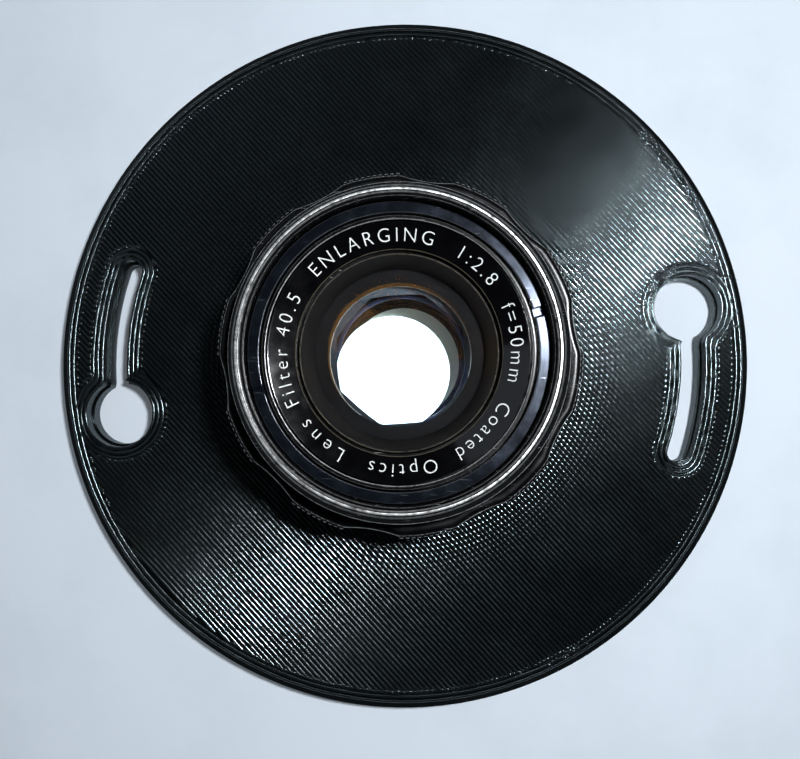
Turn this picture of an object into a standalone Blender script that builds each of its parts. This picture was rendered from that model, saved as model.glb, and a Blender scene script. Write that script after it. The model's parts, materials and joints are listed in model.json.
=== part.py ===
"""Enlarging lens on a round printed lens board, modelled as separate solids that fit together.

Dimensions are in millimetres and the scene is in metres. +Z is the optical axis, towards the
front glass, and the back face of the lens board lies on z = 0. Pieces that touch on the real
object are drawn with a small gap, FIT or more, so that no two solids share space.
"""
import math

import bmesh
import bpy
from mathutils import Matrix, Vector
from mathutils.geometry import convex_hull_2d, tessellate_polygon

MM = 0.001
FIT = 0.2                      # gap left between neighbouring pieces
TURNED_STEPS = 56              # facets round the large turned parts
INNER_STEPS = 40               # facets round the small turned parts
GLASS_STEPS = 32

# Lens board
BOARD_RADIUS = 54.0
BOARD_THICKNESS = 5.0
BOARD_CHAMFER = 1.2
KEYHOLE_CIRCLE = 45.3          # radius of the circle that both keyholes lie on
KEYHOLE_ANGLES = (10.5, 190.5)
KEYHOLE_SWEEP = -28.8          # degrees from the round hole to the end of its slot
KEYHOLE_RADIUS = 5.25
KEYHOLE_SLOT = 1.9             # half width of the slot
KEYHOLE_STEP = 0.45            # how far the lower half of the wall stands in

# Main barrel, with the 39 mm mounting thread at its back end
MOUNT_RADIUS = 19.4
REAR_END = 0.3
FLANGE_RADIUS = 22.8
FLANGE_BACK = BOARD_THICKNESS + 0.3
FLANGE_FRONT = 9.5
TUBE_RADIUS = 19.6
TUBE_BORE = 16.9
TUBE_FRONT = 25.4
REAR_BORE = 15.6
IRIS_SEAT = 9.1                # shoulder in the bore that the iris stands on

# Aperture ring
RING_BACK = FLANGE_FRONT + 0.4
RING_FRONT = 22.6
RING_BORE = TUBE_RADIUS + 0.3
SKIRT_RADIUS = 23.2
SHOULDER_RADIUS = 22.9
GRIP_BACK = 14.5
GRIP_FRONT = 21.5
LOBES = 10
FIRST_LOBE = 27.0              # degrees
LOBE_RADIUS = 25.4
SCOOP_DEPTH = 0.95
LOBE_SPAN = 18.75              # degrees of knurling on each lobe
KNURL_TEETH = 10               # teeth on each lobe
KNURL_DEPTH = 0.3
STOPS = 6                      # marked apertures, from 2.8 to 16
STOP_ANGLE = 10.0              # degrees of ring turn between two of them

# Iris
BLADES = 8
PIVOT_CIRCLE = 13.8            # pivot pins, and the middle line of each blade's own arc
BLADE_ARC = 130.0              # degrees of the blade's arc from pivot pin to drive pin
BLADE_INNER = 11.6
BLADE_OUTER = 15.9
BLADE_FLATTEN = 0.45           # the inner edge is straighter round its middle than a true arc
BLADE_MIDDLE = 75.0
BLADE_SPREAD = 18.0
BLADE_THICKNESS = 0.08
BLADE_HEIGHT = 9.95            # height of a blade at its pivot pin
BLADE_RISE = 2.1               # each blade climbs over the next one by this much
BLADE_STEPS = 20
BLADE_TIP = 1.8                # radius of a blade's rounded ends
OPEN_RADIUS = 7.3              # inner edge's distance from the axis at 2.8
CLOSED_RADIUS = 1.35           # and at 16
PIN_RADIUS = 0.45
PIN_STEPS = 10
BASE_PLATE = (9.25, 9.65)
CAM_RING = (12.3, 12.95)
IRIS_RADIUS = 16.6
SNAP_RING = (13.15, 13.6)
SNAP_GROOVE = 17.4

# Screws and click stop
DRIVE_ANGLE = 60.0             # where the drive screw stands at 2.8
DRIVE_HEIGHT = 12.62
CLICK_ANGLE = 200.0
CLICK_CIRCLE = 21.2
BALL_RADIUS = 0.75
BALL_HEIGHT = 9.12             # its top passes just under the ring
SET_SCREW_ANGLES = (30.0, 150.0, 270.0)
SET_SCREW_HEIGHT = 24.3

BLACK_ANODISED = ((0.018, 0.018, 0.02), 0.42, 0.7)
BLACK_GLOSS = ((0.01, 0.01, 0.011), 0.16, 0.2)
BLACK_MATT = ((0.02, 0.02, 0.021), 0.75, 0.1)
BLACK_PRINT = ((0.022, 0.025, 0.027), 0.5, 0.0)
BLUED_STEEL = ((0.05, 0.055, 0.065), 0.4, 0.9)
BRIGHT_STEEL = ((0.62, 0.62, 0.6), 0.28, 1.0)
BRASS = ((0.72, 0.5, 0.22), 0.3, 1.0)
GLASS = ((0.93, 0.95, 0.95), 0.03, 0.0)


def polar(radius, degrees):
    """Point of the XY plane at a radius and an angle."""
    return (radius * math.cos(math.radians(degrees)), radius * math.sin(math.radians(degrees)))


def circle(radius, steps, centre=(0.0, 0.0)):
    """Closed outline of a round hole or rim."""
    return [(centre[0] + x, centre[1] + y)
            for x, y in (polar(radius, 360.0 * i / steps) for i in range(steps))]


def clear_scene():
    """Take away whatever the new file came with."""
    for item in list(bpy.data.objects):
        bpy.data.objects.remove(item, do_unlink=True)


def finish_material(name, finish):
    """Principled material of one piece."""
    colour, roughness, metallic = finish
    material = bpy.data.materials.new(name + "_finish")
    material.use_nodes = True
    shader = material.node_tree.nodes["Principled BSDF"]
    shader.inputs["Base Color"].default_value = (*colour, 1.0)
    shader.inputs["Roughness"].default_value = roughness
    shader.inputs["Metallic"].default_value = metallic
    if finish is GLASS:
        shader.inputs["Transmission Weight"].default_value = 0.9
    return material


def make_object(name, bm, finish=None):
    """Turn a bmesh into a named object, closed and facing outward."""
    bmesh.ops.recalc_face_normals(bm, faces=bm.faces)
    mesh = bpy.data.meshes.new(name)
    bm.to_mesh(mesh)
    bm.free()
    piece = bpy.data.objects.new(name, mesh)
    bpy.context.scene.collection.objects.link(piece)
    if finish is None:
        piece.hide_render = True
        piece.display_type = "WIRE"
    else:
        mesh.materials.append(finish_material(name, finish))
        mesh.shade_smooth()
        mesh.set_sharp_from_angle(angle=math.radians(32.0))
    return piece


def turned(name, profile, finish=None, steps=TURNED_STEPS):
    """Piece of revolution; profile goes round the section as (radius, height) pairs."""
    bm = bmesh.new()
    rings = []
    for radius, height in profile:
        count = steps if radius > 0.0 else 1
        rings.append([bm.verts.new((x * MM, y * MM, height * MM)) for x, y in circle(radius, count)])
    for near, far in zip(rings, rings[1:] + rings[:1]):
        for i in range(steps if len(near) + len(far) > 2 else 0):
            j = (i + 1) % steps
            corners = [near[i % len(near)], near[j % len(near)], far[j % len(far)], far[i % len(far)]]
            bm.faces.new(list(dict.fromkeys(corners)))
    return make_object(name, bm, finish)


def plate(name, loops, bottom, top, finish=None):
    """Flat piece from an outer outline and the outlines of its holes."""
    bm = bmesh.new()
    levels = []
    for height in (bottom, top):
        levels.append([[bm.verts.new((x * MM, y * MM, height * MM)) for x, y in loop] for loop in loops])
    flat = [[vert for loop in level for vert in loop] for level in levels]
    for corners in tessellate_polygon([[Vector((x, y, 0.0)) for x, y in loop] for loop in loops]):
        for level in flat:
            bm.faces.new([level[i] for i in corners])
    for low, high in zip(*levels):
        for i in range(len(low)):
            j = (i + 1) % len(low)
            bm.faces.new((low[i], low[j], high[j], high[i]))
    return make_object(name, bm, finish)


def rod(name, radius, start, end, finish=None, steps=PIN_STEPS):
    """Round rod between two points; its ends may have other radii, given as (start, end)."""
    first, last = (Vector(point) * MM for point in (start, end))
    radii = radius if isinstance(radius, tuple) else (radius, radius)
    turn = (last - first).to_track_quat("Z", "Y").to_matrix().to_4x4()
    bm = bmesh.new()
    bmesh.ops.create_cone(bm, cap_ends=True, segments=steps, radius1=radii[0] * MM,
                          radius2=radii[1] * MM, depth=(last - first).length,
                          matrix=Matrix.Translation((first + last) / 2) @ turn)
    return make_object(name, bm, finish)


def combine(piece, tool, operation):
    """Add a Boolean of a hidden tool solid to a piece."""
    modifier = piece.modifiers.new(tool.name, "BOOLEAN")
    modifier.operation = operation
    modifier.solver = "EXACT"
    modifier.object = tool


def radial_point(radius, degrees, height):
    """Point at a radius, an angle and a height."""
    return (*polar(radius, degrees), height)


def keyhole_outline(angle, inset):
    """Round hole with a curved slot that leads away from it, made smaller all round by inset."""
    hole = KEYHOLE_RADIUS - inset
    half = KEYHOLE_SLOT - inset
    end = angle + KEYHOLE_SWEEP
    mouth = math.degrees(math.asin(half / hole))
    centre = polar(KEYHOLE_CIRCLE, angle)
    outline = []
    for i in range(21):
        turn = angle - 90.0 + mouth + (360.0 - 2.0 * mouth) * i / 20.0
        x, y = polar(hole, turn)
        outline.append((centre[0] + x, centre[1] + y))
    lead = math.degrees(hole * math.cos(math.radians(mouth)) / KEYHOLE_CIRCLE) + 1.0
    inner = [polar(KEYHOLE_CIRCLE - half, angle - lead + (KEYHOLE_SWEEP + lead) * i / 8.0)
             for i in range(9)]
    outer = [polar(KEYHOLE_CIRCLE + half, angle - lead + (KEYHOLE_SWEEP + lead) * i / 8.0)
             for i in range(9)]
    tip = polar(KEYHOLE_CIRCLE, end)
    cap = [(tip[0] + x, tip[1] + y) for x, y in (polar(half, end + 180.0 + 180.0 * i / 8.0)
                                                 for i in range(1, 8))]
    return outline + inner + cap + outer[::-1]


def build_lens_board():
    """Printed disc with a central hole for the lens and two stepped keyholes."""
    hole = MOUNT_RADIUS + 0.4
    rim = BOARD_RADIUS - BOARD_CHAMFER
    board = turned("lens_board", [(hole, 0.0), (BOARD_RADIUS, 0.0),
                                  (BOARD_RADIUS, BOARD_THICKNESS - BOARD_CHAMFER),
                                  (rim, BOARD_THICKNESS), (hole, BOARD_THICKNESS)], BLACK_PRINT, 72)
    for i, angle in enumerate(KEYHOLE_ANGLES):
        through = plate(f"keyhole_{i + 1}_cutter", [keyhole_outline(angle, KEYHOLE_STEP)],
                        -1.0, BOARD_THICKNESS + 1.0)
        upper = plate(f"keyhole_{i + 1}_upper_cutter", [keyhole_outline(angle, 0.0)],
                      BOARD_THICKNESS / 2, BOARD_THICKNESS + 2.0)
        combine(board, through, "DIFFERENCE")
        combine(board, upper, "DIFFERENCE")


def build_main_barrel():
    """Mounting thread, flange and tube that everything else is carried on."""
    barrel = turned("main_barrel", [
        (REAR_BORE, REAR_END), (MOUNT_RADIUS - 0.3, REAR_END), (MOUNT_RADIUS, REAR_END + 0.3),
        (MOUNT_RADIUS, FLANGE_BACK), (FLANGE_RADIUS, FLANGE_BACK),
        (FLANGE_RADIUS, FLANGE_FRONT - 0.3), (FLANGE_RADIUS - 0.3, FLANGE_FRONT),
        (TUBE_RADIUS, FLANGE_FRONT), (TUBE_RADIUS, TUBE_FRONT), (TUBE_BORE, TUBE_FRONT),
        (TUBE_BORE, SNAP_RING[1] + FIT), (SNAP_GROOVE, SNAP_RING[1] + FIT),
        (SNAP_GROOVE, SNAP_RING[0] - FIT), (TUBE_BORE, SNAP_RING[0] - FIT),
        (TUBE_BORE, IRIS_SEAT), (REAR_BORE, IRIS_SEAT)], BLACK_ANODISED)
    # The drive screw sweeps through this slot as the ring turns.
    travel = STOP_ANGLE * (STOPS - 1)
    arc = [DRIVE_ANGLE - 5.0 + (travel + 10.0) * i / 12.0 for i in range(13)]
    slot = plate("drive_slot_cutter", [[polar(TUBE_BORE - 2.0, a) for a in arc]
                                       + [polar(TUBE_RADIUS + 0.2, a) for a in reversed(arc)]],
                 DRIVE_HEIGHT - 1.2, DRIVE_HEIGHT + 1.2)
    combine(barrel, slot, "DIFFERENCE")
    pocket = rod("click_pocket_cutter", BALL_RADIUS + FIT, radial_point(CLICK_CIRCLE, CLICK_ANGLE, 6.4),
                 radial_point(CLICK_CIRCLE, CLICK_ANGLE, FLANGE_FRONT + 1.0), steps=16)
    combine(barrel, pocket, "DIFFERENCE")


def grip_outline():
    """Outline of the hand grip: knurled lobes with a smooth scoop between each two."""
    outline = []
    pitch = 360.0 / LOBES
    scoop = pitch - LOBE_SPAN
    for lobe in range(LOBES):
        start = FIRST_LOBE + lobe * pitch - LOBE_SPAN / 2
        for tooth in range(2 * KNURL_TEETH + 1):
            radius = LOBE_RADIUS - (KNURL_DEPTH if tooth % 2 else 0.0)
            outline.append(polar(radius, start + LOBE_SPAN * tooth / (2 * KNURL_TEETH)))
        for i in range(1, 8):
            across = 2.0 * i / 8.0 - 1.0
            outline.append(polar(LOBE_RADIUS - SCOOP_DEPTH * (1.0 - across ** 2),
                                 start + LOBE_SPAN + scoop * i / 8.0))
    return outline


def build_aperture_ring():
    """Ring turned by hand: scale skirt at the back, grip, and a row of detents underneath."""
    ring = turned("aperture_ring", [
        (RING_BORE, RING_BACK), (SKIRT_RADIUS - 0.2, RING_BACK), (SKIRT_RADIUS, RING_BACK + 0.2),
        (SKIRT_RADIUS, GRIP_BACK + 1.0), (SHOULDER_RADIUS, GRIP_BACK + 1.0),
        (SHOULDER_RADIUS, RING_FRONT - 0.3), (SHOULDER_RADIUS - 0.3, RING_FRONT),
        (RING_BORE, RING_FRONT)], BLACK_ANODISED)
    grip = plate("grip_tool", [grip_outline(), circle(RING_BORE + 1.5, TURNED_STEPS)],
                 GRIP_BACK, GRIP_FRONT)
    combine(ring, grip, "UNION")
    for stop in range(STOPS):
        angle = CLICK_ANGLE - STOP_ANGLE * stop
        detent = rod(f"detent_{stop + 1}_cutter", (BALL_RADIUS + 0.35, 0.3),
                     radial_point(CLICK_CIRCLE, angle, RING_BACK - 0.3),
                     radial_point(CLICK_CIRCLE, angle, RING_BACK + 0.6), steps=12)
        combine(ring, detent, "DIFFERENCE")
    hole = rod("drive_screw_hole_cutter", 1.0 + FIT, radial_point(RING_BORE - 2.0, DRIVE_ANGLE, DRIVE_HEIGHT),
               radial_point(SKIRT_RADIUS + 2.0, DRIVE_ANGLE, DRIVE_HEIGHT), steps=16)
    combine(ring, hole, "DIFFERENCE")


def build_screws():
    """Drive screw from the aperture ring into the iris, and three set screws of the front barrel."""
    screw = rod("drive_screw", 1.0, radial_point(TUBE_RADIUS + 0.4, DRIVE_ANGLE, DRIVE_HEIGHT),
                radial_point(SKIRT_RADIUS - 0.3, DRIVE_ANGLE, DRIVE_HEIGHT), BRIGHT_STEEL, 12)
    tip = rod("drive_screw_tip_tool", 0.7, radial_point(IRIS_RADIUS - 1.0, DRIVE_ANGLE, DRIVE_HEIGHT),
              radial_point(TUBE_RADIUS + 1.4, DRIVE_ANGLE, DRIVE_HEIGHT))
    combine(screw, tip, "UNION")
    screws = [(screw, SKIRT_RADIUS - 0.3, DRIVE_ANGLE, DRIVE_HEIGHT, 1.0)]
    for i, angle in enumerate(SET_SCREW_ANGLES):
        name = f"set_screw_{i + 1}"
        piece = rod(name, 0.7, radial_point(TUBE_RADIUS + 0.2, angle, SET_SCREW_HEIGHT),
                    radial_point(22.4, angle, SET_SCREW_HEIGHT), BRIGHT_STEEL, 12)
        screws.append((piece, 22.4, angle, SET_SCREW_HEIGHT, 0.7))
    for piece, radius, angle, height, size in screws:
        across = math.degrees(size * 1.5 / radius)
        ends = (radial_point(radius, angle - across, height), radial_point(radius, angle + across, height))
        driver_slot = rod(piece.name + "_slot_cutter", 0.22, *ends, steps=4)
        combine(piece, driver_slot, "DIFFERENCE")


def build_front():
    """Front barrel with the filter thread, and the rings inside its mouth."""
    barrel = turned("front_barrel", [
        (19.9, 22.9), (22.5, 22.9), (22.7, 23.1), (22.7, 26.8), (22.45, 27.1), (21.75, 27.6),
        (21.75, 29.4), (21.5, 29.85), (21.1, 30.0), (20.65, 29.85), (20.25, 29.3), (20.25, 25.6),
        (19.9, 25.6)], BLACK_ANODISED)
    for i, angle in enumerate(SET_SCREW_ANGLES):
        hole = rod(f"set_screw_{i + 1}_hole_cutter", 0.7 + FIT, radial_point(17.0, angle, SET_SCREW_HEIGHT),
                   radial_point(25.0, angle, SET_SCREW_HEIGHT), steps=12)
        combine(barrel, hole, "DIFFERENCE")
    ring = turned("spanner_ring", [(18.5, 25.8), (20.0, 25.8), (20.0, 27.2), (19.9, 27.3), (18.6, 27.3),
                                   (18.5, 27.2)], BLUED_STEEL)
    for i, angle in enumerate((16.0, 196.0)):
        middle, reach = polar(19.25, angle), 2.0
        along = polar(reach, angle)
        slot = rod(f"spanner_slot_{i + 1}_cutter", 0.7, (middle[0] - along[0], middle[1] - along[1], 27.3),
                   (middle[0] + along[0], middle[1] + along[1], 27.3), steps=4)
        combine(ring, slot, "DIFFERENCE")
    turned("name_ring", [(13.8, 24.8), (16.0, 24.8), (16.0, 26.1), (17.4, 26.1), (17.4, 27.0),
                         (13.8, 25.7)], BLACK_GLOSS)
    turned("front_cell", [
        (8.2, 13.25), (14.8, 13.25), (14.8, 14.4), (16.6, 14.4), (16.6, 25.6), (18.2, 25.6), (18.2, 27.0),
        (17.65, 27.0), (17.65, 25.95), (16.2, 25.95), (16.2, 24.6), (13.6, 24.6), (13.6, 22.0),
        (12.6, 22.0), (12.6, 18.95), (10.4, 18.95), (10.4, 13.85), (8.2, 13.85)], BLACK_ANODISED)
    turned("front_lens_retainer", [(11.7, 22.2), (13.4, 22.2), (13.4, 25.5), (13.2, 25.5)], BLACK_MATT)
    turned("front_spacer", [(9.7, 19.2), (12.4, 19.2), (12.4, 21.05), (9.7, 21.05)], BLACK_MATT, INNER_STEPS)


def sag(curve, radius):
    """Depth of a spherical surface at a radius; curve is its radius of curvature, 0 if it is flat."""
    return 0.0 if curve == 0.0 else curve - math.copysign(math.sqrt(curve ** 2 - radius ** 2), curve)


def build_element(name, front, rear, edge, clear=None):
    """Glass element between two surfaces, each given as (vertex height, radius of curvature).

    A positive curvature bulges to the front. clear is where a hollow surface ends in a flat rim.
    """
    steps = 4
    profile = []
    for vertex, curve in (front, rear):
        hollow = clear if clear and (curve > 0.0) == (vertex == rear[0]) else None
        reach = hollow or edge
        side = [(reach * i / steps, vertex - sag(curve, reach * i / steps)) for i in range(steps + 1)]
        if curve == 0.0:
            side = [side[0], side[-1]]
        if hollow:
            side.append((edge, side[-1][1]))
        profile.append(side)
    turned(name, profile[0] + profile[1][::-1], GLASS, GLASS_STEPS)


def build_glass():
    """Six elements in four groups, three in front of the iris and three behind it."""
    build_element("front_element", (24.6, 28.0), (22.2, 80.0), 12.4)
    build_element("front_doublet_crown", (21.9, 17.5), (17.9, 0.0), 10.2)
    build_element("front_doublet_flint", (17.75, 0.0), (16.85, 12.5), 10.2, 7.9)
    build_element("rear_doublet_flint", (6.2, -12.0), (5.3, 0.0), 8.6, 7.2)
    build_element("rear_doublet_crown", (5.15, 0.0), (2.55, -18.0), 8.6)
    build_element("rear_element", (2.3, 0.0), (0.4, -32.0), 8.7)


def build_rear_cell():
    """Cell screwed into the back of the main barrel, with its spacer and retaining ring."""
    turned("rear_cell", [
        (8.9, 0.5), (15.3, 0.5), (15.3, 8.9), (7.5, 8.9), (7.5, 8.75), (8.9, 8.75)], BLACK_ANODISED)
    turned("rear_spacer", [(8.3, 2.5), (8.75, 2.5), (8.75, 4.4), (8.3, 4.4)], BLACK_MATT, INNER_STEPS)
    turned("rear_lens_retainer", [(7.6, 0.5), (8.7, 0.5), (8.7, 1.35), (7.9, 1.0)], BLACK_MATT,
           INNER_STEPS)


def blade_turn(radius):
    """Degrees that a blade has turned about its pivot when its inner edge is this far from the axis."""
    return math.degrees(2.0 * math.asin((BLADE_INNER - radius) / (2.0 * PIVOT_CIRCLE)))


def blade_point(turn, radius, along):
    """Point of blade 1, whose pivot lies on +X, at a place along its arc, once it has turned."""
    hub = polar(PIVOT_CIRCLE, 180.0 + turn)
    x, y = polar(radius, along + turn)
    return (PIVOT_CIRCLE + hub[0] + x, hub[1] + y)


def blade_height(along):
    """Height of a blade's mid surface at a place along its arc."""
    return BLADE_HEIGHT + BLADE_RISE * along / BLADE_ARC


def build_blade(index):
    """One curved blade with its pivot pin below and its drive pin above, at rest wide open."""
    angle = 360.0 * index / BLADES
    turn = blade_turn(OPEN_RADIUS)
    tip = math.degrees(BLADE_TIP / PIVOT_CIRCLE)
    ends = (-0.96, -0.75, -0.4)
    places = [tip * share for share in ends]
    places += [BLADE_ARC * i / BLADE_STEPS for i in range(BLADE_STEPS + 1)]
    places += [BLADE_ARC - tip * share for share in reversed(ends)]
    bm = bmesh.new()
    sections = []
    for along in places:
        over = max(-along, along - BLADE_ARC, 0.0) / tip
        flat = 1.0 - math.exp(-(((along - BLADE_MIDDLE) / BLADE_SPREAD) ** 2))
        inner, outer = BLADE_INNER + BLADE_FLATTEN * flat, BLADE_OUTER
        if over > 0.0:
            half = BLADE_TIP * math.sqrt(1.0 - over ** 2)
            inner, outer = PIVOT_CIRCLE - half, PIVOT_CIRCLE + half
        section = []
        for radius, side in ((inner, -1), (outer, -1), (outer, 1), (inner, 1)):
            x, y = blade_point(turn, radius, along)
            height = blade_height(along) + side * BLADE_THICKNESS / 2
            section.append(bm.verts.new(Vector((x, y, height)) * MM))
        sections.append(section)
    for near, far in zip(sections, sections[1:]):
        for i in range(4):
            j = (i + 1) % 4
            bm.faces.new((near[i], near[j], far[j], far[i]))
    bm.faces.new(sections[0])
    bm.faces.new(sections[-1])
    spin = Matrix.Rotation(math.radians(angle), 4, "Z")
    # The blade's origin stands on its pivot.
    pivot = Vector((PIVOT_CIRCLE, 0.0, 0.0)) * MM
    bm.transform(Matrix.Translation(-pivot))
    blade = make_object(f"iris_blade_{index + 1}", bm, BLUED_STEEL)
    blade.matrix_world = spin @ Matrix.Translation(pivot)
    pins = (("pivot", 0.0, BASE_PLATE[0] + 0.1), ("drive", BLADE_ARC, CAM_RING[1] - 0.1))
    for label, along, reach in pins:
        x, y = blade_point(turn, PIVOT_CIRCLE, along)
        pin = rod(f"{blade.name}_{label}_pin_tool", PIN_RADIUS, (x, y, blade_height(along)), (x, y, reach))
        pin.matrix_world = spin
        combine(blade, pin, "UNION")


def cam_slot(index):
    """Outline of the cam ring's slot that holds the drive pin over the whole turn of the ring."""
    opened, closed = blade_turn(OPEN_RADIUS), blade_turn(CLOSED_RADIUS)
    travel = STOP_ANGLE * (STOPS - 1)
    angle = 360.0 * index / BLADES
    points = []
    for i in range(7):
        x, y = blade_point(opened + (closed - opened) * i / 6.0, PIVOT_CIRCLE, BLADE_ARC)
        back = angle - travel * i / 6.0
        points += circle(PIN_RADIUS + FIT, 12, polar(math.hypot(x, y),
                                                     math.degrees(math.atan2(y, x)) + back))
    hull = convex_hull_2d([Vector(point) for point in points])
    return [points[i] for i in hull]


def build_iris():
    """Base plate, blades, cam ring and the snap ring that keeps them in."""
    pivots = [circle(PIN_RADIUS + FIT, 12, polar(PIVOT_CIRCLE, 360.0 * i / BLADES))
              for i in range(BLADES)]
    plate("iris_base_plate", [circle(IRIS_RADIUS, TURNED_STEPS), circle(8.2, INNER_STEPS)] + pivots,
          *BASE_PLATE, BLACK_MATT)
    for i in range(BLADES):
        build_blade(i)
    # A notch in the rim takes the tip of the drive screw.
    notch = math.degrees(0.95 / IRIS_RADIUS)
    rim = [polar(IRIS_RADIUS, DRIVE_ANGLE + notch + (360.0 - 2.0 * notch) * i / TURNED_STEPS)
           for i in range(TURNED_STEPS + 1)]
    rim += [polar(15.2, DRIVE_ANGLE - notch), polar(15.2, DRIVE_ANGLE + notch)]
    plate("iris_cam_ring", [rim, circle(9.8, INNER_STEPS)] + [cam_slot(i) for i in range(BLADES)],
          *CAM_RING, BRASS)
    # The snap ring is open where the drive screw travels.
    travel = STOP_ANGLE * (STOPS - 1)
    start, sweep = DRIVE_ANGLE + travel + 8.0, 360.0 - travel - 16.0
    arc = [start + sweep * i / 48.0 for i in range(49)]
    plate("iris_snap_ring", [[polar(SNAP_GROOVE - FIT, a) for a in arc]
                             + [polar(15.2, a) for a in reversed(arc)]], *SNAP_RING, BRIGHT_STEEL)


def build_click_stop():
    """Ball pressed up into the ring's detents by a small coil spring."""
    x, y = polar(CLICK_CIRCLE, CLICK_ANGLE)
    bm = bmesh.new()
    bmesh.ops.create_uvsphere(bm, u_segments=16, v_segments=10, radius=BALL_RADIUS * MM)
    ball = make_object("click_ball", bm, BRIGHT_STEEL)
    ball.location = (x * MM, y * MM, BALL_HEIGHT * MM)
    turns, wire, coil, bottom, top = 3.0, 0.13, 0.6, 6.65, 8.15
    sides, steps = 6, 36
    bm = bmesh.new()
    rows = []
    for i in range(steps + 1):
        around = 2.0 * math.pi * turns * i / steps
        height = bottom + wire + (top - bottom - 2.0 * wire) * i / steps
        row = []
        for k in range(sides):
            lean = 2.0 * math.pi * k / sides
            reach = coil + wire * math.cos(lean)
            row.append(bm.verts.new(Vector((x + reach * math.cos(around), y + reach * math.sin(around),
                                            height + wire * math.sin(lean))) * MM))
        rows.append(row)
    for near, far in zip(rows, rows[1:]):
        for k in range(sides):
            m = (k + 1) % sides
            bm.faces.new((near[k], near[m], far[m], far[k]))
    bm.faces.new(rows[0])
    bm.faces.new(rows[-1])
    make_object("click_spring", bm, BRIGHT_STEEL)


def main():
    """Build the whole lens on its board."""
    clear_scene()
    build_lens_board()
    build_main_barrel()
    build_aperture_ring()
    build_screws()
    build_front()
    build_glass()
    build_rear_cell()
    build_iris()
    build_click_stop()


main()
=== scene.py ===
"""Enlarging lens on a printed lens board: finished meshes, materials, light and camera.

The frame gives every body and its place. Each sub-assembly is a class that builds its own meshes
in millimetres, dresses them in a finish and lets them ride on a body of the frame.
"""
import json
import logging
import math
import random
from collections.abc import Callable, Sequence
from dataclasses import dataclass, field
from enum import Enum
from typing import Any

import bmesh
import bpy
import numpy as np
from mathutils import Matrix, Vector
from mathutils.geometry import tessellate_polygon


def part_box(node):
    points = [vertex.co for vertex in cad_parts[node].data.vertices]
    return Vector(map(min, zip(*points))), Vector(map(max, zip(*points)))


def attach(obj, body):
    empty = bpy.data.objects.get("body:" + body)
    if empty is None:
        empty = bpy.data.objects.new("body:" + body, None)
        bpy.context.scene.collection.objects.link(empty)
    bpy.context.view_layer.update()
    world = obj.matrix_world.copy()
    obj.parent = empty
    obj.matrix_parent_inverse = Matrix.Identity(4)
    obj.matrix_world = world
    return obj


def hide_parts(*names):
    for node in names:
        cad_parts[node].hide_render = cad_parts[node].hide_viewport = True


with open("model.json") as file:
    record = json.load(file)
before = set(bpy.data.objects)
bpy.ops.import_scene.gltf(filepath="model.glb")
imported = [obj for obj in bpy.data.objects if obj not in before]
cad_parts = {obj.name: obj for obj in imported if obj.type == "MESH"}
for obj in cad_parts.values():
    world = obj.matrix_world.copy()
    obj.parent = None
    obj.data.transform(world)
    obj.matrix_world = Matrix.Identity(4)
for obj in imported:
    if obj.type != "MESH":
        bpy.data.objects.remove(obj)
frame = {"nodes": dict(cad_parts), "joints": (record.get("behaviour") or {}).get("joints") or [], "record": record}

MM = 0.001
TURN = 2.0 * math.pi
LOG = logging.getLogger("enlarging_lens")
Point2 = tuple[float, float]
Section = list[tuple[float, float, float]]


# ---------------------------------------------------------------- small geometry helpers

def polar(radius: float, degrees: float) -> Point2:
    """Point of the XY plane at a radius and an angle."""
    return (radius * math.cos(math.radians(degrees)), radius * math.sin(math.radians(degrees)))


def node_size(node: str) -> tuple[float, float, float]:
    """Read a turned node's size from the frame.

    Args:
        node: Name of the node.

    Returns:
        Its outer radius, lowest height and highest height, in millimetres.
    """
    low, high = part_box(node)
    return high.x / MM, low.z / MM, high.z / MM


def new_object(name: str, points: Sequence[Sequence[float]], faces: Sequence[Sequence[int]] = (),
               edges: Sequence[Sequence[int]] = (), smooth: bool = True) -> bpy.types.Object:
    """Make a mesh object from points in millimetres.

    Args:
        name: Name of the object and its mesh.
        points: Vertices in millimetres.
        faces: Vertex numbers of each face.
        edges: Vertex numbers of each loose edge.
        smooth: Whether faces are shaded smooth.

    Returns:
        The linked object, at the origin.
    """
    mesh = bpy.data.meshes.new(name)
    mesh.from_pydata([tuple(c * MM for c in point) for point in points], list(edges), list(faces))
    mesh.validate()
    if smooth and faces:
        mesh.shade_smooth()
    piece = bpy.data.objects.new(name, mesh)
    bpy.context.scene.collection.objects.link(piece)
    return piece


def face_outward(piece: bpy.types.Object, weld: float = 1e-7) -> None:
    """Merge doubles and point every face outward.

    Args:
        piece: Closed mesh.
        weld: Distance in metres under which two points are one.
    """
    bm = bmesh.new()
    bm.from_mesh(piece.data)
    bmesh.ops.remove_doubles(bm, verts=bm.verts, dist=weld)
    bmesh.ops.recalc_face_normals(bm, faces=bm.faces)
    bm.to_mesh(piece.data)
    bm.free()


@dataclass(frozen=True)
class Corner:
    """Corner of a turned section: radius, height, size of its rounding, and how far it is worn."""

    r: float
    z: float
    fillet: float = 0.06
    wear: float = 0.0


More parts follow.
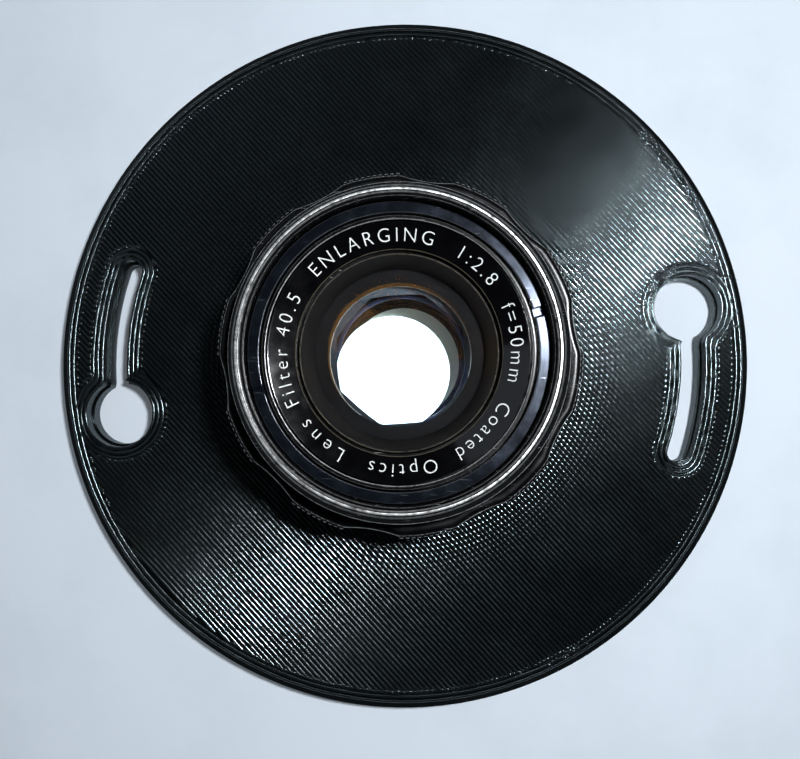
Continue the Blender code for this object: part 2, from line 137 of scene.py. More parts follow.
def rounded(corners: Sequence[Corner], arc_steps: int = 5, guard: float = 0.12) -> Section:
    """Round the corners of a closed section and guard each rounding with a point on either side.

    Args:
        corners: The section's corners in order.
        arc_steps: Number of steps in each rounding.
        guard: Distance from a rounding to the point that keeps the flat beside it flat.

    Returns:
        Points as (radius, height, wear).
    """
    section: Section = []
    count = len(corners)
    for i, corner in enumerate(corners):
        here = Vector((corner.r, corner.z))
        before = Vector((corners[i - 1].r, corners[i - 1].z)) - here
        after = Vector((corners[(i + 1) % count].r, corners[(i + 1) % count].z)) - here
        cut = min(corner.fillet, 0.45 * before.length, 0.45 * after.length)
        start, end = here + before.normalized() * cut, here + after.normalized() * cut
        if before.length > 2.2 * (cut + guard):
            side = here + before.normalized() * (cut + guard)
            section.append((side.x, side.y, 0.0))
        for step in range(arc_steps + 1):
            t = step / arc_steps
            point = start * (1 - t) ** 2 + here * 2 * t * (1 - t) + end * t ** 2
            section.append((point.x, point.y, corner.wear * math.sin(math.pi * t) ** 2))
        if after.length > 2.2 * (cut + guard):
            side = here + after.normalized() * (cut + guard)
            section.append((side.x, side.y, 0.0))
    return section


def lathe(name: str, section: Section, steps: int = 192) -> bpy.types.Object:
    """Turn a closed section about Z into a closed solid that carries its wear as an attribute.

    Args:
        name: Name of the piece.
        section: Points as (radius, height, wear); a radius of 0 makes a pole.
        steps: Number of facets round the piece.

    Returns:
        The new object.
    """
    points: list[tuple[float, float, float]] = []
    wear: list[float] = []
    rings: list[list[int]] = []
    for radius, height, worn in section:
        count = steps if radius > 1e-6 else 1
        rings.append(list(range(len(points), len(points) + count)))
        for i in range(count):
            x, y = polar(radius, 360.0 * i / steps)
            points.append((x, y, height))
            wear.append(worn)
    faces = []
    for near, far in zip(rings, rings[1:] + rings[:1]):
        for i in range(steps if len(near) + len(far) > 2 else 0):
            j = (i + 1) % steps
            corners = [near[i % len(near)], near[j % len(near)], far[j % len(far)], far[i % len(far)]]
            faces.append(list(dict.fromkeys(corners)))
    piece = new_object(name, points, faces)
    attribute = piece.data.attributes.new("wear", "FLOAT", "POINT")
    attribute.data.foreach_set("value", wear)
    face_outward(piece, 0.0)
    return piece


def prism(name: str, outline: Sequence[Point2], bottom: float, top: float) -> bpy.types.Object:
    """Straight solid on a flat outline; used as a cutter.

    Args:
        name: Name of the cutter.
        outline: Its outline, in millimetres.
        bottom: Height of its foot.
        top: Height of its top.

    Returns:
        The cutter.
    """
    count = len(outline)
    points = [(x, y, z) for z in (bottom, top) for x, y in outline]
    faces: list[Sequence[int]] = [tuple(range(count)), tuple(range(count, 2 * count))]
    faces += [(i, (i + 1) % count, count + (i + 1) % count, count + i) for i in range(count)]
    piece = new_object(name, points, faces, smooth=False)
    face_outward(piece)
    return piece


def box_outline(centre: Point2, degrees: float, length: float, width: float) -> list[Point2]:
    """Rectangle outline whose length runs at an angle.

    Args:
        centre: Its middle.
        degrees: Angle of its length.
        length: Its length.
        width: Its width.

    Returns:
        Its four corners.
    """
    c, s = polar(1.0, degrees)
    return [(centre[0] + a * c - b * s, centre[1] + a * s + b * c)
            for a, b in ((-length / 2, -width / 2), (length / 2, -width / 2),
                         (length / 2, width / 2), (-length / 2, width / 2))]


def settle(piece: bpy.types.Object) -> None:
    """Turn a piece's modifiers into plain mesh and take them off.

    Args:
        piece: Object with modifiers.
    """
    graph = bpy.context.evaluated_depsgraph_get()
    mesh = bpy.data.meshes.new_from_object(piece.evaluated_get(graph), preserve_all_data_layers=True,
                                           depsgraph=graph)
    piece.modifiers.clear()
    piece.data = mesh


def carve(piece: bpy.types.Object, cutters: Sequence[bpy.types.Object]) -> None:
    """Cut solids out of a piece, then remove them.

    Args:
        piece: Object to cut.
        cutters: Solids to cut away.
    """
    for cutter in cutters:
        modifier = piece.modifiers.new(cutter.name, "BOOLEAN")
        modifier.operation = "DIFFERENCE"
        modifier.solver = "EXACT"
        modifier.object = cutter
    settle(piece)
    for cutter in cutters:
        bpy.data.objects.remove(cutter, do_unlink=True)


# ---------------------------------------------------------------- nodes and materials

def linear(code: str) -> tuple[float, float, float, float]:
    """Turn an sRGB hex colour into linear light.

    Args:
        code: Colour as "#rrggbb".

    Returns:
        Linear red, green, blue and alpha.
    """
    parts = [int(code[i:i + 2], 16) / 255.0 for i in (1, 3, 5)]
    red, green, blue = (p / 12.92 if p <= 0.04045 else ((p + 0.055) / 1.055) ** 2.4 for p in parts)
    return red, green, blue, 1.0


def add_node(tree: bpy.types.NodeTree, kind: str, inputs: dict[Any, Any] | None = None,
             **settings: Any) -> bpy.types.Node:
    """Add a node to a tree.

    Args:
        tree: Material or geometry tree.
        kind: Type name of the node.
        inputs: Values or output sockets for its inputs, by name or by number.
        settings: Properties of the node.

    Returns:
        The new node.
    """
    node = tree.nodes.new(kind)
    for name, value in settings.items():
        setattr(node, name, value)
    for key, value in (inputs or {}).items():
        if isinstance(value, bpy.types.NodeSocket):
            tree.links.new(value, node.inputs[key])
        else:
            node.inputs[key].default_value = value
    return node


class Grain(Enum):
    """How a surface was made, which sets the lines in it."""

    MOULDED = "moulded"
    TURNED = "turned"


@dataclass(frozen=True)
class Finish:
    """Surface of one real material.

    The first colour is the usual one and the second is where it is dusty, thin or marked. Where a
    mesh carries wear, the bare colour shows through in patches. Turning marks and grit are really
    finer than 0.1 mm, and are drawn a little coarser so that they show.
    """

    name: str
    slot: str
    colour: str
    second: str
    roughness: Point2 = (0.35, 0.5)
    metallic: float = 0.0
    mottle_mm: float = 3.0
    grain: Grain = Grain.MOULDED
    grain_mm: float = 0.25
    relief_mm: float = 0.004
    bare: str | None = None
    scratches: float = 0.0
    coat: float = 0.0
    specular: float = 0.5
    tint: str = "#ffffff"
    bare_roughness: float = 0.2

    def build(self) -> bpy.types.Material:
        """Make the material from its nodes.

        Returns:
            The material.
        """
        material = bpy.data.materials.new(self.name)
        material.use_nodes = True
        tree = material.node_tree
        shader = tree.nodes["Principled BSDF"]
        place = add_node(tree, "ShaderNodeTexCoord").outputs["Object"]
        mottle = add_node(tree, "ShaderNodeTexNoise", {"Vector": place, "Scale": 1.0 / (self.mottle_mm * MM),
                                                       "Detail": 5.0, "Roughness": 0.6})
        patches = add_node(tree, "ShaderNodeMapRange", {"Value": mottle.outputs["Fac"], "From Min": 0.45,
                                                        "From Max": 0.75})
        colour = self.mix_colour(tree, patches.outputs["Result"], linear(self.colour), linear(self.second))
        rough = add_node(tree, "ShaderNodeMapRange", {"Value": mottle.outputs["Fac"], "From Min": 0.3,
                                                      "From Max": 0.7, "To Min": self.roughness[0],
                                                      "To Max": self.roughness[1]}).outputs["Result"]
        height = self.grain_height(tree, place)
        shader.inputs["Metallic"].default_value = self.metallic
        if self.bare:
            worn = self.worn_share(tree, place)
            colour = self.mix_colour(tree, worn, colour, linear(self.bare))
            rough = add_node(tree, "ShaderNodeMix", {"Factor": worn, "A": rough, "B": self.bare_roughness},
                             data_type="FLOAT").outputs["Result"]
            metal = add_node(tree, "ShaderNodeMix", {"Factor": worn, "A": self.metallic, "B": 1.0},
                             data_type="FLOAT").outputs["Result"]
            tree.links.new(metal, shader.inputs["Metallic"])
        bump = add_node(tree, "ShaderNodeBump", {"Height": height, "Strength": 1.0,
                                                 "Distance": self.relief_mm * MM})
        tree.links.new(colour, shader.inputs["Base Color"])
        tree.links.new(rough, shader.inputs["Roughness"])
        tree.links.new(bump.outputs["Normal"], shader.inputs["Normal"])
        shader.inputs["Coat Weight"].default_value = self.coat
        shader.inputs["Specular IOR Level"].default_value = self.specular
        shader.inputs["Specular Tint"].default_value = linear(self.tint)
        return material

    @staticmethod
    def mix_colour(tree: bpy.types.NodeTree, share: bpy.types.NodeSocket, first: Any,
                   second: Any) -> bpy.types.NodeSocket:
        """Blend two colours.

        Args:
            tree: Tree of the material.
            share: How much of the second colour.
            first: Colour or socket.
            second: Colour or socket.

        Returns:
            Socket of the blend.
        """
        node = add_node(tree, "ShaderNodeMix", {"Factor": share}, data_type="RGBA")
        for number, value in ((6, first), (7, second)):
            if isinstance(value, bpy.types.NodeSocket):
                tree.links.new(value, node.inputs[number])
            else:
                node.inputs[number].default_value = value
        return node.outputs[2]

    def grain_height(self, tree: bpy.types.NodeTree, place: bpy.types.NodeSocket) -> bpy.types.NodeSocket:
        """Height of the surface's fine lines or grit.

        Args:
            tree: Tree of the material.
            place: Socket of the place on the object.

        Returns:
            Socket of the height.
        """
        if self.grain is Grain.TURNED:
            axes = add_node(tree, "ShaderNodeSeparateXYZ", {"Vector": place})
            flat = add_node(tree, "ShaderNodeCombineXYZ", {"X": axes.outputs["X"], "Y": axes.outputs["Y"]})
            radius = add_node(tree, "ShaderNodeVectorMath", {0: flat.outputs["Vector"]}, operation="LENGTH")
            place = add_node(tree, "ShaderNodeCombineXYZ", {"X": radius.outputs["Value"],
                                                            "Y": axes.outputs["Z"]}).outputs["Vector"]
        detail = 2.0 if self.grain is Grain.TURNED else 6.0
        return add_node(tree, "ShaderNodeTexNoise", {"Vector": place, "Scale": 1.0 / (self.grain_mm * MM),
                                                     "Detail": detail}).outputs["Fac"]

    def worn_share(self, tree: bpy.types.NodeTree, place: bpy.types.NodeSocket) -> bpy.types.NodeSocket:
        """Share of bare metal: patches on worn edges, and a few fine scratches elsewhere.

        Args:
            tree: Tree of the material.
            place: Socket of the place on the object.

        Returns:
            Socket of the share.
        """
        wear = add_node(tree, "ShaderNodeAttribute", attribute_name="wear").outputs["Fac"]
        patch = add_node(tree, "ShaderNodeTexNoise", {"Vector": place, "Scale": 1.0 / (0.9 * MM),
                                                      "Detail": 6.0, "Roughness": 0.7})
        ragged = add_node(tree, "ShaderNodeMapRange", {"Value": patch.outputs["Fac"], "From Min": 0.3,
                                                       "From Max": 0.56})
        edge = add_node(tree, "ShaderNodeMath", {0: wear, 1: ragged.outputs["Result"]}, operation="MULTIPLY")
        stretch = add_node(tree, "ShaderNodeMapping", {"Vector": place, "Rotation": (0.0, 0.0, 0.5),
                                                       "Scale": (0.12, 2.6, 1.0)})
        lines = add_node(tree, "ShaderNodeTexNoise", {"Vector": stretch.outputs["Vector"],
                                                      "Scale": 1.0 / (0.5 * MM), "Detail": 3.0})
        thin = add_node(tree, "ShaderNodeMapRange", {"Value": lines.outputs["Fac"], "From Min": 0.68,
                                                     "From Max": 0.74, "To Max": self.scratches})
        return add_node(tree, "ShaderNodeMath", {0: edge.outputs["Value"], 1: thin.outputs["Result"]},
                        operation="MAXIMUM").outputs["Value"]


@dataclass(frozen=True)
class PrintedPlastic(Finish):
    """Plastic laid down in lines: ripples where lines cross the loops below, and uneven flow."""

    line_degrees: float = -47.0
    flow_mm: tuple[float, float] = (2.2, 0.3)
    loop_pitch_mm: float = 0.8
    lean: float = 0.0
    loops_from_mm: float = 27.5
    loops_to_mm: float = 35.0

    def grain_height(self, tree: bpy.types.NodeTree, place: bpy.types.NodeSocket) -> bpy.types.NodeSocket:
        """Height of the uneven lines and of the loops that show through round the lens.

        Args:
            tree: Tree of the material.
            place: Socket of the place on the object.

        Returns:
            Socket of the height.
        """
        turned = add_node(tree, "ShaderNodeMapping", {
            "Vector": place, "Rotation": (0.0, 0.0, math.radians(self.line_degrees)),
            "Scale": (self.flow_mm[0] * MM, self.flow_mm[1] * MM, 1.0)}, vector_type="TEXTURE")
        flow = add_node(tree, "ShaderNodeTexNoise", {"Vector": turned.outputs["Vector"], "Scale": 1.0,
                                                     "Detail": 3.0, "Roughness": 0.65})
        axes = add_node(tree, "ShaderNodeSeparateXYZ", {"Vector": place})
        flat = add_node(tree, "ShaderNodeCombineXYZ", {"X": axes.outputs["X"], "Y": axes.outputs["Y"]})
        radius = add_node(tree, "ShaderNodeVectorMath", {0: flat.outputs["Vector"]}, operation="LENGTH")
        phase = add_node(tree, "ShaderNodeMath", {0: radius.outputs["Value"],
                                                  1: TURN / (self.loop_pitch_mm * MM)}, operation="MULTIPLY")
        wave = add_node(tree, "ShaderNodeMath", {0: phase.outputs[0]}, operation="SINE")
        fade = add_node(tree, "ShaderNodeMapRange", {"Value": radius.outputs["Value"],
                                                     "From Min": self.loops_from_mm * MM,
                                                     "From Max": self.loops_to_mm * MM,
                                                     "To Min": 0.55, "To Max": 0.0})
        ripple = add_node(tree, "ShaderNodeMath", {0: wave.outputs[0], 1: fade.outputs["Result"],
                                                   2: flow.outputs["Fac"]}, operation="MULTIPLY_ADD")
        across = add_node(tree, "ShaderNodeSeparateXYZ", {"Vector": turned.outputs["Vector"]})
        return add_node(tree, "ShaderNodeMath", {0: across.outputs["Y"], 1: self.lean, 2: ripple.outputs[0]},
                        operation="MULTIPLY_ADD").outputs[0]


@dataclass(frozen=True)
class CoatedGlass:
    """Optical glass with a coating: clear, with a coloured reflection."""

    name: str
    reflection: str
    index: float = 1.6
    paint_roughness: float = 0.7
    slot: str = "optical_glass"

    def build(self) -> bpy.types.Material:
        """Make the material: faint dust on the surface, and a ground edge painted black.

        Returns:
            The material.
        """
        material = bpy.data.materials.new(self.name)
        material.use_nodes = True
        tree = material.node_tree
        shader = tree.nodes["Principled BSDF"]
        place = add_node(tree, "ShaderNodeTexCoord").outputs["Object"]
        dust = add_node(tree, "ShaderNodeTexNoise", {"Vector": place, "Scale": 1.0 / (0.35 * MM),
                                                     "Detail": 2.0})
        specks = add_node(tree, "ShaderNodeMapRange", {"Value": dust.outputs["Fac"], "From Min": 0.76,
                                                       "From Max": 0.82, "To Max": 0.2})
        painted = add_node(tree, "ShaderNodeAttribute", attribute_name="wear").outputs["Fac"]
        satin = add_node(tree, "ShaderNodeMath", {0: painted, 1: self.paint_roughness}, operation="MULTIPLY")
        rough = add_node(tree, "ShaderNodeMath", {0: satin.outputs["Value"], 1: specks.outputs["Result"]},
                         operation="MAXIMUM")
        clear = add_node(tree, "ShaderNodeMath", {0: 1.0, 1: painted}, operation="SUBTRACT")
        colour = Finish.mix_colour(tree, painted, linear("#fbfcfa"), linear("#060606"))
        tree.links.new(rough.outputs[0], shader.inputs["Roughness"])
        tree.links.new(colour, shader.inputs["Base Color"])
        tree.links.new(clear.outputs[0], shader.inputs["Transmission Weight"])
        shader.inputs["IOR"].default_value = self.index
        shader.inputs["Specular Tint"].default_value = linear(self.reflection)
        return material


class Finishes:
    """Every finish of the object, each built once when it is first asked for."""

    # Black PLA, drawn in lines: satin, with a cool grey sheen along the lines.
    PRINT = PrintedPlastic("printed_black_pla", "printed_plastic", "#08090a", "#0c0e0f", (0.16, 0.215),
                           mottle_mm=9.0, relief_mm=0.02, specular=1.0, tint="#d9eff4")
    # The same lines where the nozzle pressed them down, lower and leaning to one side: their darker colour and
    # weaker reflection are painted shade for the hollows between the higher lines.
    PRINT_PAINTED_SHADE = PrintedPlastic("printed_black_pla_painted_shade", "printed_plastic", "#020303", "#040505",
                                   (0.2, 0.28), mottle_mm=9.0, relief_mm=0.02, specular=0.18, tint="#d9eff4",
                                   lean=2.25)
    # Black anodised aluminium, turned: satin black that wears to bright metal on its edges.
    ANODISED = Finish("black_anodised_aluminium", "black_anodised", "#050506", "#0b0c0d", (0.17, 0.26), 0.1,
                      grain=Grain.TURNED, grain_mm=0.15, relief_mm=0.0003, bare="#e2e2e0", scratches=0.35,
                      specular=0.3, bare_roughness=0.4)
    # Turned spacer dyed a dead black between the glasses: nearly no light comes back from it.
    DEAD_BLACK = Finish("dead_black_dyed_aluminium", "matt_black", "#050506", "#080809", (0.6, 0.7), 0.0,
                        grain=Grain.TURNED, grain_mm=0.2, relief_mm=0.002, specular=0.03)
    # Blued steel: blue-black and a little glossy, scratched round its slots.
    BLUED = Finish("blued_steel_ring", "blue_black_steel", "#1c212a", "#2b323d", (0.14, 0.22), 0.7,
                   grain=Grain.TURNED, grain_mm=0.15, relief_mm=0.002, bare="#b9bcc2", scratches=0.8)
    # Thin blued spring steel of the blades: smooth and dark.
    BLADE = Finish("blued_spring_steel", "blue_black_steel", "#15181c", "#22262b", (0.3, 0.42), 0.8,
                   grain_mm=0.6, relief_mm=0.001)
    # Gloss black enamel, baked on: deep and mirror-like, with a faint orange peel.
    ENAMEL = Finish("gloss_black_enamel", "gloss_black", "#050506", "#08080a", (0.07, 0.14), 0.0,
                    grain_mm=0.8, relief_mm=0.0005, bare="#8f8672", coat=0.3)
    # Matt optical black paint over a turned cone: grey in the light, with fine turning lines.
    MATT = Finish("matt_optical_black", "matt_black", "#0e0f10", "#161719", (0.5, 0.65), 0.0,
                  grain=Grain.TURNED, grain_mm=0.22, relief_mm=0.006, bare="#6e675c", specular=0.06)
    # Bright turned steel: screws, ball and springs.
    STEEL = Finish("turned_bright_steel", "bright_steel", "#a9a9a6", "#8c8b88", (0.2, 0.32), 1.0,
                   grain_mm=0.1, relief_mm=0.001)
    # Machined brass, slightly dull.
    BRASS = Finish("machined_brass", "brass", "#b08d4a", "#8f6f38", (0.28, 0.4), 1.0, grain=Grain.TURNED,
                   grain_mm=0.15, relief_mm=0.002)
    # White paint pressed into engraving: matt, and slightly grey in patches.
    PAINT = Finish("white_engraving_paint", "gloss_black", "#e9ebe8", "#c9ccc9", (0.5, 0.65), 0.0,
                   mottle_mm=0.8, grain_mm=0.1, relief_mm=0.002)
    # Polished optical glass with a thin coating: clear, and what little it reflects is tinted.
    AMBER_GLASS = CoatedGlass("amber_coated_glass", "#ffb45a", 1.62)
    BLUE_GLASS = CoatedGlass("blue_coated_glass", "#9fb4ff", 1.6)

    def __init__(self) -> None:
        """Start with no material built."""
        self.built: dict[str, bpy.types.Material] = {}

    def get(self, finish: Finish | CoatedGlass) -> bpy.types.Material:
        """Material of a finish, built when it is first asked for.

        Args:
            finish: The finish.

        Returns:
            Its material.
        """
        if finish.name not in self.built:
            self.built[finish.name] = finish.build()
        return self.built[finish.name]

    def dress(self, piece: bpy.types.Object, finish: Finish | CoatedGlass, body: str,
              nodes: Sequence[str] = ()) -> bpy.types.Object:
        """Give a piece its material and its place in the frame.

        Args:
            piece: Finished mesh.
            finish: What it is made of.
            body: Body of the frame that it rides on.
            nodes: Nodes of the frame that it stands for.

        Returns:
            The same piece.
        """
        piece.data.materials.clear()
        piece.data.materials.append(self.get(finish))
        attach(piece, body)
        if nodes:
            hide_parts(*nodes)
        LOG.info("%s: %d faces, %s, on %s", piece.name, len(piece.data.polygons), finish.name, body)
        return piece


# ---------------------------------------------------------------- geometry trees

def start_tree(name: str, sockets: dict[str, str]) -> tuple[bpy.types.NodeTree, bpy.types.Node]:
    """Start a geometry tree.

    Args:
        name: Name of the tree.
        sockets: Types of its own inputs, by name.

    Returns:
        The tree and its input node.
    """
    tree = bpy.data.node_groups.new(name, "GeometryNodeTree")
    tree.interface.new_socket("Geometry", in_out="INPUT", socket_type="NodeSocketGeometry")
    for label, kind in sockets.items():
        tree.interface.new_socket(label, in_out="INPUT", socket_type=kind)
    tree.interface.new_socket("Geometry", in_out="OUTPUT", socket_type="NodeSocketGeometry")
    return tree, add_node(tree, "NodeGroupInput")


def end_tree(tree: bpy.types.NodeTree, shape: bpy.types.NodeSocket, finish: bpy.types.NodeSocket) -> None:
    """Close a geometry tree: real geometry, in its finish.

    Args:
        tree: Geometry tree.
        shape: Socket of its shape.
        finish: Socket of its material.
    """
    real = add_node(tree, "GeometryNodeRealizeInstances", {"Geometry": shape})
    dressed = add_node(tree, "GeometryNodeSetMaterial", {"Geometry": real.outputs[0], "Material": finish})
    add_node(tree, "NodeGroupOutput", {0: dressed.outputs[0]})


def sweep_tree() -> bpy.types.NodeTree:
    """Tree that runs an oval bead along every edge path of a mesh.

    Returns:
        The tree.
    """
    tree, given = start_tree("swept_bead", {"Half Width": "NodeSocketFloat", "Half Height": "NodeSocketFloat",
                                            "Sides": "NodeSocketInt", "Finish": "NodeSocketMaterial"})
    out = given.outputs
    path = add_node(tree, "GeometryNodeMeshToCurve", {"Mesh": out["Geometry"]})
    level = add_node(tree, "GeometryNodeSetCurveNormal", {"Curve": path.outputs[0]}, mode="Z_UP")
    ring = add_node(tree, "GeometryNodeCurvePrimitiveCircle", {"Resolution": out["Sides"], "Radius": 1.0})
    size = add_node(tree, "ShaderNodeCombineXYZ", {"X": out["Half Width"], "Y": out["Half Height"], "Z": 1.0})
    oval = add_node(tree, "GeometryNodeTransform", {"Geometry": ring.outputs["Curve"],
                                                    "Scale": size.outputs["Vector"]})
    bead = add_node(tree, "GeometryNodeCurveToMesh", {"Curve": level.outputs[0],
                                                      "Profile Curve": oval.outputs[0], "Fill Caps": True})
    soft = add_node(tree, "GeometryNodeSetShadeSmooth", {"Geometry": bead.outputs[0]})
    end_tree(tree, soft.outputs[0], out["Finish"])
    return tree


def round_tree() -> bpy.types.NodeTree:
    """Tree that repeats a shape round Z in equal groups, such as the teeth on each lobe of a grip.

    Returns:
        The tree.
    """
    tree, given = start_tree("round_array", {"Count": "NodeSocketInt", "Per Group": "NodeSocketInt",
                                             "Step": "NodeSocketFloat", "Group Step": "NodeSocketFloat",
                                             "Start": "NodeSocketFloat", "Finish": "NodeSocketMaterial"})
    out = given.outputs
    line = add_node(tree, "GeometryNodeMeshLine", {"Count": out["Count"], "Offset": (0.0, 0.0, 0.0)})
    number = add_node(tree, "GeometryNodeInputIndex").outputs[0]
    share = add_node(tree, "ShaderNodeMath", {0: number, 1: out["Per Group"]}, operation="DIVIDE")
    group = add_node(tree, "ShaderNodeMath", {0: share.outputs[0]}, operation="FLOOR")
    inside = add_node(tree, "ShaderNodeMath", {0: number, 1: out["Per Group"]}, operation="MODULO")
    first = add_node(tree, "ShaderNodeMath", {0: group.outputs[0], 1: out["Group Step"], 2: out["Start"]},
                     operation="MULTIPLY_ADD")
    angle = add_node(tree, "ShaderNodeMath", {0: inside.outputs[0], 1: out["Step"], 2: first.outputs[0]},
                     operation="MULTIPLY_ADD")
    turn = add_node(tree, "ShaderNodeCombineXYZ", {"Z": angle.outputs[0]})
    placed = add_node(tree, "GeometryNodeInstanceOnPoints", {"Points": line.outputs[0],
                                                             "Instance": out["Geometry"],
                                                             "Rotation": turn.outputs[0]})
    end_tree(tree, placed.outputs[0], out["Finish"])
    return tree


def blob_tree() -> bpy.types.NodeTree:
    """Tree that sets a flattened blob of plastic, each of its own size, on every point of a mesh.

    Returns:
        The tree.
    """
    tree, given = start_tree("print_blobs", {"Radius": "NodeSocketFloat", "Height": "NodeSocketFloat",
                                             "Least": "NodeSocketFloat", "Seed": "NodeSocketInt",
                                             "Finish": "NodeSocketMaterial"})
    out = given.outputs
    ball = add_node(tree, "GeometryNodeMeshIcoSphere", {"Radius": 1.0, "Subdivisions": 2})
    soft = add_node(tree, "GeometryNodeSetShadeSmooth", {"Geometry": ball.outputs["Mesh"]})
    shape = add_node(tree, "ShaderNodeCombineXYZ", {"X": out["Radius"], "Y": out["Radius"],
                                                    "Z": out["Height"]})
    flat = add_node(tree, "GeometryNodeTransform", {"Geometry": soft.outputs[0],
                                                    "Scale": shape.outputs["Vector"]})
    size = add_node(tree, "FunctionNodeRandomValue", {"Min": out["Least"], "Seed": out["Seed"]},
                    data_type="FLOAT")
    points = add_node(tree, "GeometryNodeMeshToPoints", {"Mesh": out["Geometry"]})
    placed = add_node(tree, "GeometryNodeInstanceOnPoints", {"Points": points.outputs[0],
                                                             "Instance": flat.outputs[0],
                                                             "Scale": size.outputs[1]})
    end_tree(tree, placed.outputs[0], out["Finish"])
    return tree


def grow(seed: bpy.types.Object, tree: bpy.types.NodeTree, inputs: dict[str, Any]) -> bpy.types.Object:
    """Run a geometry tree on an object and keep the result as its plain mesh.

    Args:
        seed: Object whose mesh goes in.
        tree: Geometry tree.
        inputs: Values of the tree's inputs, by name.

    Returns:
        The same object with its new mesh.
    """
    modifier = seed.modifiers.new(tree.name, "NODES")
    modifier.node_group = tree
    sockets = {item.name: item.identifier for item in tree.interface.items_tree if item.in_out == "INPUT"}
    for name, value in inputs.items():
        modifier[sockets[name]] = value
    settle(seed)
    return seed


class Trees:
    """The geometry trees that the sub-assemblies share."""

    def __init__(self) -> None:
        """Build each tree once."""
        self.bead = sweep_tree()
        self.round = round_tree()
        self.blobs = blob_tree()


@dataclass
class Workshop:
    """What every sub-assembly works with."""

    finishes: Finishes = field(default_factory=Finishes)
    trees: Trees = field(default_factory=Trees)

    def beads(self, name: str, paths: Sequence[Sequence[Sequence[float]]], closed: bool, half_width: float,
              half_height: float, sides: int, finish: Finish) -> bpy.types.Object:
        """Run beads along paths.

        Args:
            name: Name of the piece.
            paths: Points of each path in millimetres.
            closed: Whether each path ends where it began.
            half_width: Half the bead's level width.
            half_height: Half its height.
            sides: Number of facets round the bead.
            finish: What it is made of.

        Returns:
            The piece, not yet riding on anything.
        """
        points: list[Sequence[float]] = []
        edges: list[tuple[int, int]] = []
        for path in paths:
            first = len(points)
            points.extend(path)
            edges += [(i, i + 1) for i in range(first, len(points) - 1)]
            if closed:
                edges.append((len(points) - 1, first))
        seed = new_object(name, points, edges=edges)
        return grow(seed, self.trees.bead, {"Half Width": half_width * MM, "Half Height": half_height * MM,
                                            "Sides": sides, "Finish": self.finishes.get(finish)})


# ---------------------------------------------------------------- lettering

@dataclass(frozen=True)
class Lettering:
    """Letters filled with paint, laid on a turned surface."""

    words: str
    height: float
    width: float | None = None
    weight: float = 0.0
    thickness: float = 0.03

    def build(self, name: str, place: Callable[[float, float, float], Sequence[float]]) -> bpy.types.Object:
        """Make the letters.

        Args:
            name: Name of the piece.
            place: Function from flat x, y and thickness to a point on the object, in millimetres.

        Returns:
            The letters as a mesh.
        """
        curve = bpy.data.curves.new(name, "FONT")
        curve.body = self.words
        curve.size = self.height / 0.7
        curve.align_x, curve.align_y = "CENTER", "CENTER"
        curve.offset = self.weight
        curve.extrude = self.thickness / 2
        curve.resolution_u = 4
        flat = bpy.data.objects.new(name + "_flat", curve)
        bpy.context.scene.collection.objects.link(flat)
        if self.width:
            bpy.context.view_layer.update()
            curve.space_character = self.width / flat.dimensions.x
        graph = bpy.context.evaluated_depsgraph_get()
        mesh = bpy.data.meshes.new_from_object(flat.evaluated_get(graph))
        bpy.data.objects.remove(flat, do_unlink=True)
        for vertex in mesh.vertices:
            vertex.co = Vector(place(*vertex.co)) * MM
        piece = bpy.data.objects.new(name, mesh)
        bpy.context.scene.collection.objects.link(piece)
        face_outward(piece, 1e-8)
        return piece


# ---------------------------------------------------------------- lens board

